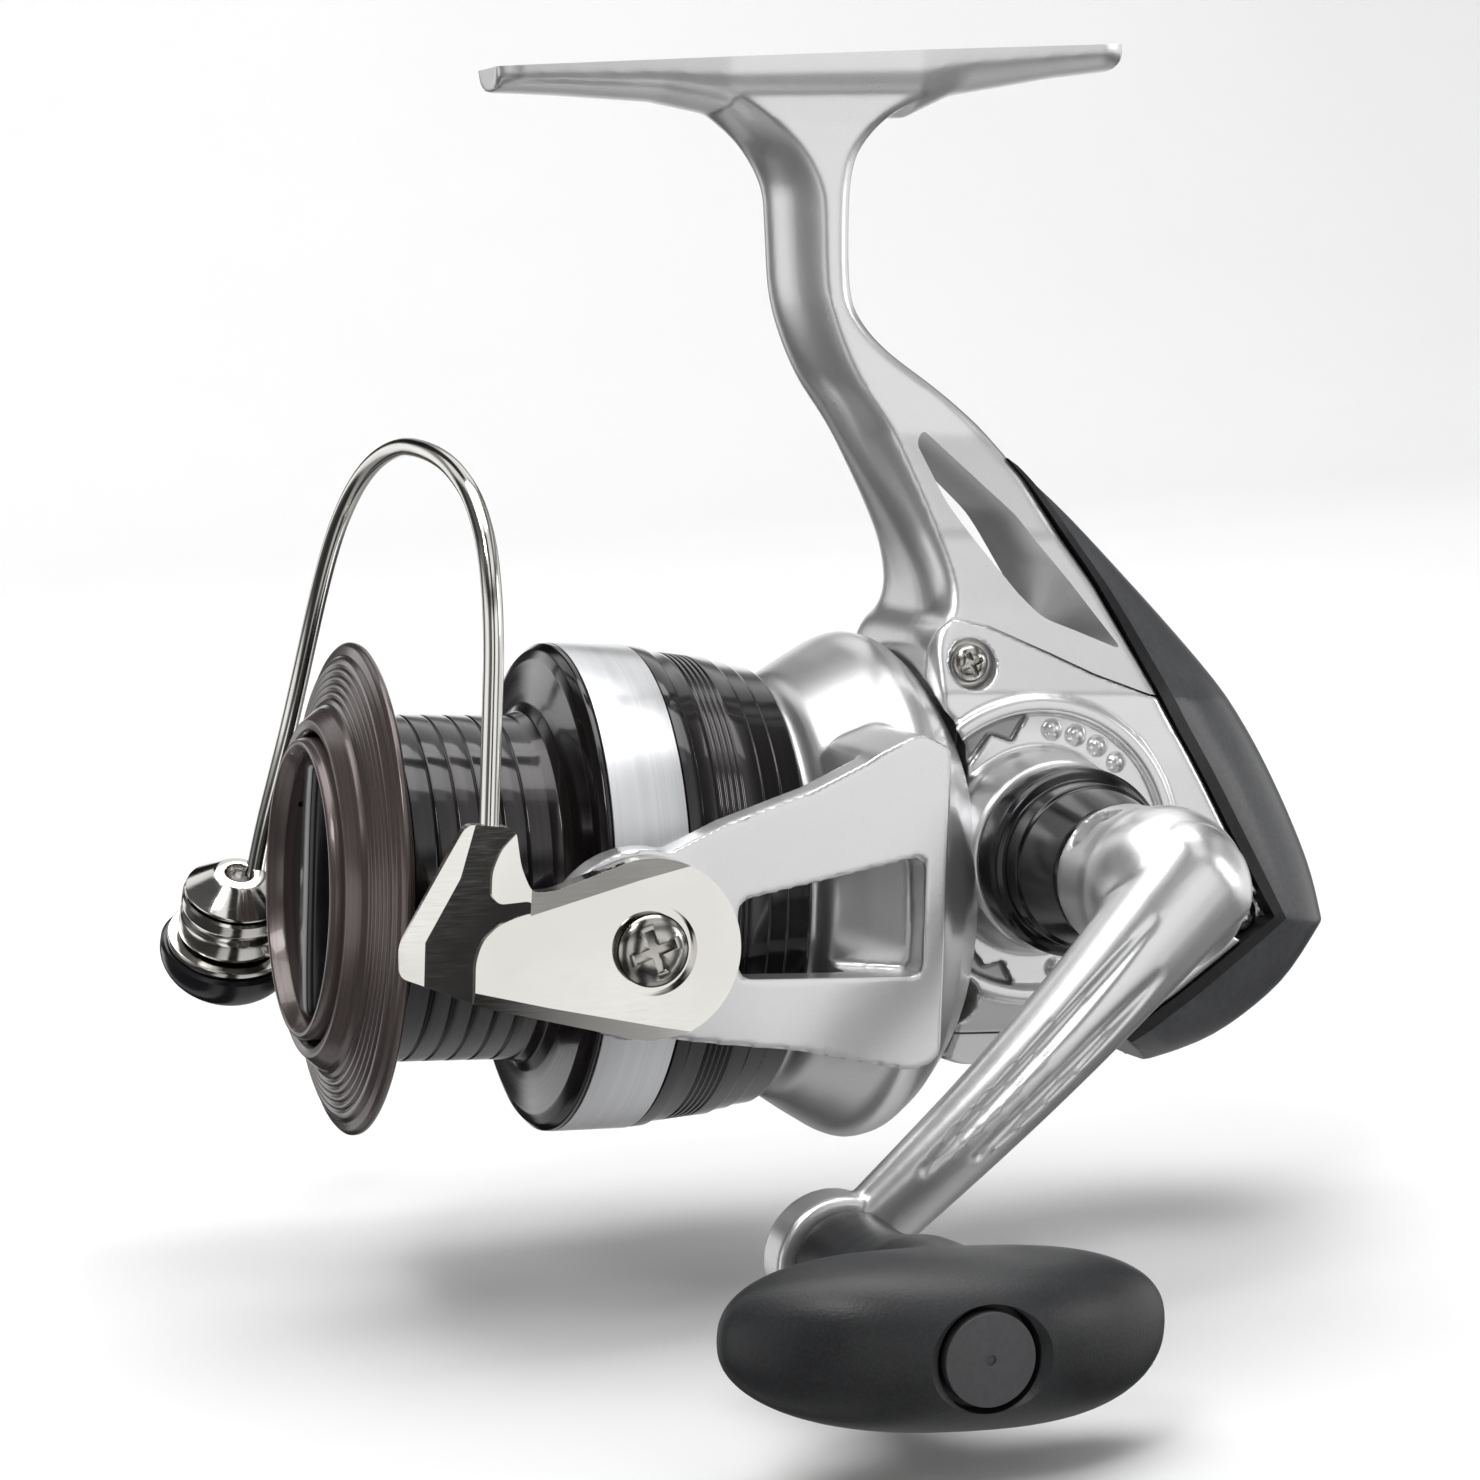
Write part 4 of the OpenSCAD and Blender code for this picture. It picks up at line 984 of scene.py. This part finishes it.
# Edge of the lever's sunken front facet: past the wire's socket, across the neck and down the plate.
FACET_EDGE = [
    (-72, 14), (-58.4, 14), (-58.4, 9.5), (-60.2, 7.6), (-61, 5.6), (-61, 3.3), (-60.2, 2.6), (-57.3, 2.9),
    (-56.6, 1.9), (-58.4, 1.5), (-60.3, 0.7), (-61.7, -0.7), (-62.3, -2.6), (-62.2, -12), (-72, -12),
]


def facet_y(x):
    """Outer face of the front facet, which falls away to the tip."""
    return -LEVER_OUT + 0.165 * (-57.2 - x)


def shave(line, run, drop):
    """Cutter that slopes down from a line on the lever's face. Run is its way in x and z."""
    rings = []
    for x, y, z in line:
        far_x, far_z = x + run[0], z + run[1]
        rings.append([Vector((x, y, z)), Vector((far_x, y + drop, far_z)),
                      Vector((far_x, y - 6, far_z)), Vector((x, y - 6, z))])
    return skin("shave", rings)


def screw_well(side, mouth, floor):
    """Sunken seat and hole for a pivot screw, on the near (-1) or far (1) side."""
    profile = [(0, 34), (mouth, 34), (floor, 30.6), (2.28, 30.6), (2.28, 28), (0, 28)]
    return lathe("well", [(radius, side * y) for radius, y in profile], ON_PIVOT, 96)


def bail_holder():
    """Near lever: a round end, a sunken facet before it that holds the wire, and chamfers."""
    lever = prism("wire_lever", rounded(HOLDER_OUTLINE, 0.9), -LEVER_OUT, -LEVER_IN)
    unite(lever, disc("end", LEVER_END_R, -LEVER_OUT, -LEVER_IN))
    edge = rounded(FACET_EDGE, 0.8)
    facet = skin("facet", [[Vector((p.x, y, p.y)) for p, y in zip(edge, depths)]
                           for depths in ([-40] * len(edge), [facet_y(p.x) for p in edge])])
    tip = [(x, facet_y(x) - 0.01, z) for x, z in ((-61.6, 13), (-63.6, 4.9), (-66.6, -1), (-66.6, -7))]
    foot_line, top_line = [[(x, -LEVER_OUT - 0.03, z) for x, z in line] for line in (FOOT_LINE, TOP_LINE)]
    cuts = [facet, shave(tip, (-3.6, 0.6), 1.24), shave(foot_line, (-0.5, -3.0), 1.9),
            shave(top_line, (0.1, 4.0), 0.9)]
    cut(lever, cuts)
    bevel(lever, 0.35, 3, 40)
    cut(lever, screw_well(-1, 4.3, 4.2))
    deliver(lever, "bail", nickel, ["bail_holder"], 9, True)


def roller_arm():
    lever = prism("roller_lever", rounded(FAR_OUTLINE, 1.2), LEVER_IN, LEVER_OUT)
    unite(lever, disc("end", LEVER_END_R, LEVER_IN, LEVER_OUT))
    bevel(lever, 0.5, 3, 35)
    bridge = skin("bridge", [oval(Vector((-61, y, -14)), X_DIR * 2.8, Vector((0, 0, 2.8)), 24)
                             for y in (LEVER_IN + 0.1, LEVER_OUT - 0.1)])
    arm_disc = turned("disc", [(1.5, -9.2), (6.6, -9.2), (6.6, -8.4), (1.5, -8.4)], stack_place, 0.2, 96)
    start = Vector((-61, (LEVER_IN + LEVER_OUT) / 2, -14))
    end = STACK_TOP + STACK_AXIS * -8.8 + X_DIR * 3.5
    link_rings = []
    for k in range(9):
        t = k / 8
        up_dir = Y_DIR.lerp(STACK_AXIS, t).normalized()
        out_dir = Vector((0.45, 0, -0.9)).lerp(STACK_SIDE, t).normalized()
        link_rings.append(oval(start.lerp(end, t), out_dir * (2.6 + 0.6 * t), up_dir * (1.1 - 0.75 * t), 20))
    unite(lever, [bridge, skin("link", link_rings), arm_disc])
    cut(lever, screw_well(1, 4.45, 4.35))
    deliver(lever, "bail", nickel, ["roller_arm"], 30, True)


def bail():
    bail_holder()
    roller_arm()
    wire = tube("wire", curve(WIRE_PATH), 0.95, 28)
    deliver(wire, "bail", nickel, ["bail_wire"], 60)
    cone = turned("wire_end", WIRE_END, stack_place, 0.25, 96)
    cut(cone, tube("room", curve(WIRE_PATH[-5:]), 1.0, 24))
    deliver(cone, "bail", nickel, ["wire_cone"], 30)
    groove = [(5.1 + 0.5 * abs(cos(pi * k / 10)) ** 1.5, -5.9 + 1.6 * k / 10) for k in range(11)]
    rims = [(1.55, -8), (5.2, -8), (5.55, -7.7), (5.6, -7.4), (5.6, -6.2)]
    rims += groove + [(5.6, -4.0), (5.6, -3.2), (5.4, -2.92), (1.55, -2.92)]
    roller = lathe("roller", rims, stack_place, 128)
    deliver(roller, "roller", nickel, ["line_roller"], 30)
    profile = [(0, -9.3), (6.9, -9.3), (7.2, -9.6)]
    profile += [(7.2 * cos_deg(a), -10.2 - 5.2 * sin_deg(a)) for a in range(0, 90, 6)]
    cap = lathe("roller_dome", profile + [(0, -15.4)], stack_place, 96)
    cut(cap, bore(3.2, -11.6, -8, stack_place))
    deliver(cap, "bail", gloss_black, ["roller_cap"], 30)


# ---------- handle ----------

HUB_Y = -43.5
HUB_R = 7.8
PIN_HOLE_ANGLE = 118
ARM_Y = -46.9
ARM_START = -6.6
COLLAR = [
    (2.4, -20.75), (9.0, -20.75), (9.3, -21.1), (9.3, -24.1), (8.9, -24.7), (8.2, -24.9), (8.05, -27.4),
    (7.7, -27.6), (6.8, -33.6), (6.5, -34.2), (2.4, -34.2),
]


def arm_ring(t):
    """Section of the arm at a share t of its length, with a round back and a flatter face."""
    rise = 1.1 * t ** 1.4 - 2.2 * sin(pi * t) ** 1.2
    middle = Vector((0, ARM_Y + rise, HANDLE_Z)) + CRANK_DIR * (ARM_START + t * (CRANK_R - ARM_START))
    end = sin(pi / 2 * min(1, 0.1 + t / 0.09)) ** 0.6
    wide = (6.5 - 3.2 * t ** 0.6) * end
    thick = (4.5 - 2.1 * t ** 0.7) * end
    return [middle + ARM_SIDE * wide * power(cos(angle), 0.82) + Y_DIR * thick * power(sin(angle), 0.9)
            for angle in (tau * k / 32 for k in range(32))]


def groove_tool(offset, start, end):
    """Long shallow channel along the outer face of the arm."""
    rings = []
    for k in range(15):
        share = k / 14
        ring = arm_ring(start + (end - start) * share)
        middle = sum(ring, Vector()) / len(ring)
        fade = sin(pi * min(max(share, 0.04), 0.96)) ** 0.35
        y = min(point.y for point in ring) - 1.15 + 1.05 * fade
        at = Vector((middle.x, y, middle.z)) + ARM_SIDE * offset * (1 - 0.35 * share)
        rings.append(oval(at, ARM_SIDE * 0.85, Y_DIR, 16))
    return skin("groove", rings)


def handle():
    bulb = [(0, -34.3), (6.6, -34.3), (7, -34.7), (7.15, -38), (7.3, -40)]
    bulb += [(HUB_R * cos_deg(a), HUB_Y - HUB_R * sin_deg(a)) for a in range(-15, 90, 8)]
    arm = lathe("handle_casting", bulb + [(0, HUB_Y - HUB_R)], ON_CRANK, 96)
    end = turned("end", [(0, -43.45), (6.3, -43.45), (6.3, -48.3), (0, -48.3)], ON_KNOB, 0.5, 96)
    unite(arm, [skin("arm", [arm_ring((k / 36) ** 1.6) for k in range(37)]), end])
    turn = Matrix.Translation((0, 0, HANDLE_Z)) @ Matrix.Rotation(radians(46), 4, "Y")
    notch = skin("notch", [[turn @ Vector((-9.4 + 0.15 * y, -36.4 + 1.5 * cos(a), 2.3 * sin(a)))
                            for a in (tau * k / 20 for k in range(20))] for y in (0, 30)])
    cut(arm, [groove_tool(-2.2, 0.2, 0.8), groove_tool(1.9, 0.26, 0.72), notch])
    soften(arm, 0.28, 7)
    out_dir = Vector((cos_deg(PIN_HOLE_ANGLE), 0, sin_deg(PIN_HOLE_ANGLE)))
    pin_path = [Vector((0, -38.2, HANDLE_Z)) + out_dir * reach for reach in (5.9, 7, 9)]
    holes = [bore(5.2, -36.6, -30, ON_CRANK, 64), bore(2.4, -40.2, -30, ON_CRANK),
             bore(2.0, -50, -42, ON_KNOB), tube("pin_mouth", pin_path, 1.25, 32)]
    cut(arm, holes)
    deliver(close_slivers(arm), "crank", handle_paint, ["handle_arm"], 50)
    collar = turned("collar", COLLAR, ON_CRANK, 0.2, 160)
    deliver(collar, "crank", gloss_black, ["handle_collar"], 30)


KNOB_HALF = 20.0
NECK = [
    (0, -48.5), (5.0, -48.5), (5.4, -49), (5.2, -52), (5.15, -55), (5.4, -58.5), (6.0, -62), (6.8, -65.5),
    (7.0, -68), (7.0, -72), (0, -72),
]
KNOB_RECESS = [(0, -84), (6.2, -84), (5.7, -82.6), (5.0, -82.1), (4.55, -81.7), (4.45, -79.6), (0, -79.6)]


def bar_ring(share):
    """Section of the knob's cross bar: deep in the middle, swept back and round at the ends."""
    end = (1 - abs(share) ** 3.2) ** 0.42
    back = -66.2 - 1.0 * share * share
    face = -82.9 + 6.6 * share * share
    middle = (back + face) / 2
    deep = max((back - face) / 2 * end, 0.2)
    tall = max(7.35 * end * (1 - 0.07 * share * share), 0.2)
    x = KNOB.x + share * KNOB_HALF
    return [Vector((x, middle + deep * power(sin(angle), 0.82), KNOB.z + tall * power(cos(angle), 0.82)))
            for angle in (tau * k / 48 for k in range(48))]


def knob():
    bar = skin("grip", [bar_ring(sin(pi / 2 * (k / 18 - 1))) for k in range(37)])
    unite(bar, lathe("neck", NECK, ON_KNOB, 96))
    soften(bar, 0.42, 10)
    holes = [lathe("recess", KNOB_RECESS, ON_KNOB, 96), bore(2.05, -80, -48, ON_KNOB)]
    cut(bar, holes)
    deliver(bar, "grip", soft_touch, ["knob"], 40)

    profile = [(0, -81.65), (3.1, -81.65), (3.1, -80.7), (3.95, -80.7), (3.95, -82.0), (0, -82.0)]
    plug = turned("plug", profile, ON_KNOB, 0.12, 96)
    pin_hole = lathe("pin_hole", [(0, -83), (0.5, -83), (0.45, -81.8), (0, -81.8)], ON_KNOB, 32)
    cut(plug, pin_hole)
    deliver(plug, "grip", grey_gloss, ["knob_plug"], 30)


# ---------- parts kept from the frame ----------

KEPT = {
    cut_steel: ["drive_bearing_near", "drive_bearing_far", "pinion_bearing", "oneway_clutch",
                "main_shaft", "guide_rod", "oscillation_axle", "oscillation_slider", "click_gear",
                "feed_gear", "handle_shaft", "knob_shaft", "roller_screw", "bail_spring",
                "drag_spring", "drag_clip"],
    screw_nickel: ["guard_screw", "slider_screw", "fold_pin"],
    cut_brass: ["pinion_gear", "rotor_nut", "drag_nut", "spool_sleeve"],
    cast_alloy: ["drive_gear", "oscillation_gear"],
    seal_rubber: ["rotor_seal_ring"],
    felt: ["drag_washers"],
    grey_gloss: ["handle_cap"],
}


def dress_kept_parts():
    for material, names in KEPT.items():
        for name in names:
            mesh = frame["nodes"][name].data
            mesh.materials.clear()
            mesh.materials.append(material)


# ---------- studio ----------


# Brightness of the surroundings, from below to above and from left to right.
HEIGHT_BANDS = [
    (-1, 0.55), (-0.6, 0.25), (-0.36, 0.3), (-0.24, 0.85), (0.0, 1.0), (0.16, 1.0), (0.28, 0.3), (0.38, 0.2),
    (0.52, 0.9), (1, 0.6),
]
SIDE_BANDS = [
    (-1, 0.9), (-0.94, 0.8), (-0.86, 0.12), (-0.54, 0.08), (-0.46, 0.85), (-0.27, 0.95), (-0.2, 0.03),
    (0.02, 0.03), (0.1, 0.95), (0.5, 1), (0.62, 0.25), (0.76, 0.12), (0.86, 0.8), (1, 0.8),
]
WORLD_STRENGTH = 1.22
BACKDROP_SEEN = (0.95, 0.95, 0.95, 1)


def floor_and_backdrop():
    """Pale floor that bends up into a wall. Reflections don't show it."""
    floor_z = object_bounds()[0][2] - 0.004
    half = 8
    back_y = 1.1
    bend = 0.5
    rows = [(-1.8, floor_z), (back_y, floor_z)]
    rows += [(back_y + bend * sin_deg(a), floor_z + bend * (1 - cos_deg(a))) for a in range(6, 91, 6)]
    rows.append((back_y + bend, floor_z + 3))
    points = [(x, y, z) for y, z in rows for x in (-half, half)]
    faces = [[2 * k, 2 * k + 1, 2 * k + 3, 2 * k + 2] for k in range(len(rows) - 1)]
    backdrop = add_object("backdrop", points, faces)
    pale = Nodes("pale_floor", Roughness=0.75)
    pale.link(pale.tint(pale.noise(6.0), (0.86, 0.86, 0.86), (0.9, 0.9, 0.9)), "Base Color")
    backdrop.data.materials.append(pale.material)
    for face in backdrop.data.polygons:
        face.use_smooth = True
    backdrop.visible_glossy = False


def bands(tree, source, table):
    """Grey brightness read from a table of (direction, brightness) pairs."""
    spread = add_node(tree, "ShaderNodeMapRange", {"From Min": -1.0, "Value": source})
    ramp = add_node(tree, "ShaderNodeValToRGB", {"Fac": spread.outputs["Result"]})
    steps = ramp.color_ramp.elements
    while len(steps) < len(table):
        steps.new(0.5)
    for step, (at, value) in zip(steps, table):
        step.position = (at + 1) / 2
        step.color = (value, value, value, 1)
    return ramp.outputs["Color"]


def studio():
    floor_and_backdrop()
    world = bpy.data.worlds.new("soft_studio")
    world.use_nodes = True
    tree = world.node_tree
    direction = add_node(tree, "ShaderNodeTexCoord").outputs["Generated"]
    parts = add_node(tree, "ShaderNodeSeparateXYZ", {0: direction})
    height = bands(tree, parts.outputs["Z"], HEIGHT_BANDS)
    side = bands(tree, parts.outputs["X"], SIDE_BANDS)
    product = mix(tree, 1.0, height, side, blend_type="MULTIPLY")
    to_camera = add_node(tree, "ShaderNodeLightPath").outputs["Is Camera Ray"]
    background = tree.nodes["Background"]
    tree.links.new(mix(tree, to_camera, product, BACKDROP_SEEN), background.inputs[0])
    background.inputs[1].default_value = WORLD_STRENGTH
    bpy.context.scene.world = world
    bpy.context.scene.view_settings.view_transform = "Standard"

    soft_box("key_light", (-0.5, -0.55, 0.75), (0, 0, -0.07), 0.3, 2.4)
    soft_box("fill_light", (0.75, -0.45, 0.1), (0, 0, -0.07), 0.3, 0.8)
    soft_box("backdrop_light", (0, 0.35, 1.5), (0, 1.3, -0.1), 1.6, 20.0)
    soft_box("floor_light", (0, -0.1, 1.5), (0, 0.1, -0.2), 1.2, 3.5)


def soft_box(name, place, target, size, power_w):
    data = bpy.data.lights.new(name, "AREA")
    data.shape = "SQUARE"
    data.size = size
    data.energy = power_w
    light = bpy.data.objects.new(name, data)
    light.location = Vector(place)
    light.rotation_mode = "QUATERNION"
    light.rotation_quaternion = (Vector(target) - light.location).to_track_quat("-Z", "Y")
    bpy.context.scene.collection.objects.link(light)


def camera():
    """Camera given by the point it looks at and its direction, in the reel's own directions."""
    azimuth = radians(-19.14)
    elevation = radians(5.13)
    roll = radians(1.95)
    target = Vector((-26.87, 0, 14.64))
    distance = 387.5
    back = Vector((sin(azimuth) * cos(elevation), -cos(azimuth) * cos(elevation), sin(elevation)))
    level = Vector((cos(azimuth), sin(azimuth), 0))
    right = level * cos(roll) + back.cross(level) * sin(roll)
    turn = REEL.to_3x3().normalized()
    directions = [(turn @ direction).normalized() for direction in (right, back.cross(right), back)]
    data = bpy.data.cameras.new("camera")
    data.sensor_width = 36
    data.lens = 93.7
    data.clip_start = 0.01
    data.clip_end = 20
    view = bpy.data.objects.new("camera", data)
    view.matrix_world = placement(directions, REEL @ (target + back * distance))
    bpy.context.scene.collection.objects.link(view)
    bpy.context.scene.camera = view


camera()
housing()
rear_guard()
screws()
rotor()
spool()
drag_knob()
bail()
handle()
knob()
dress_kept_parts()
studio()
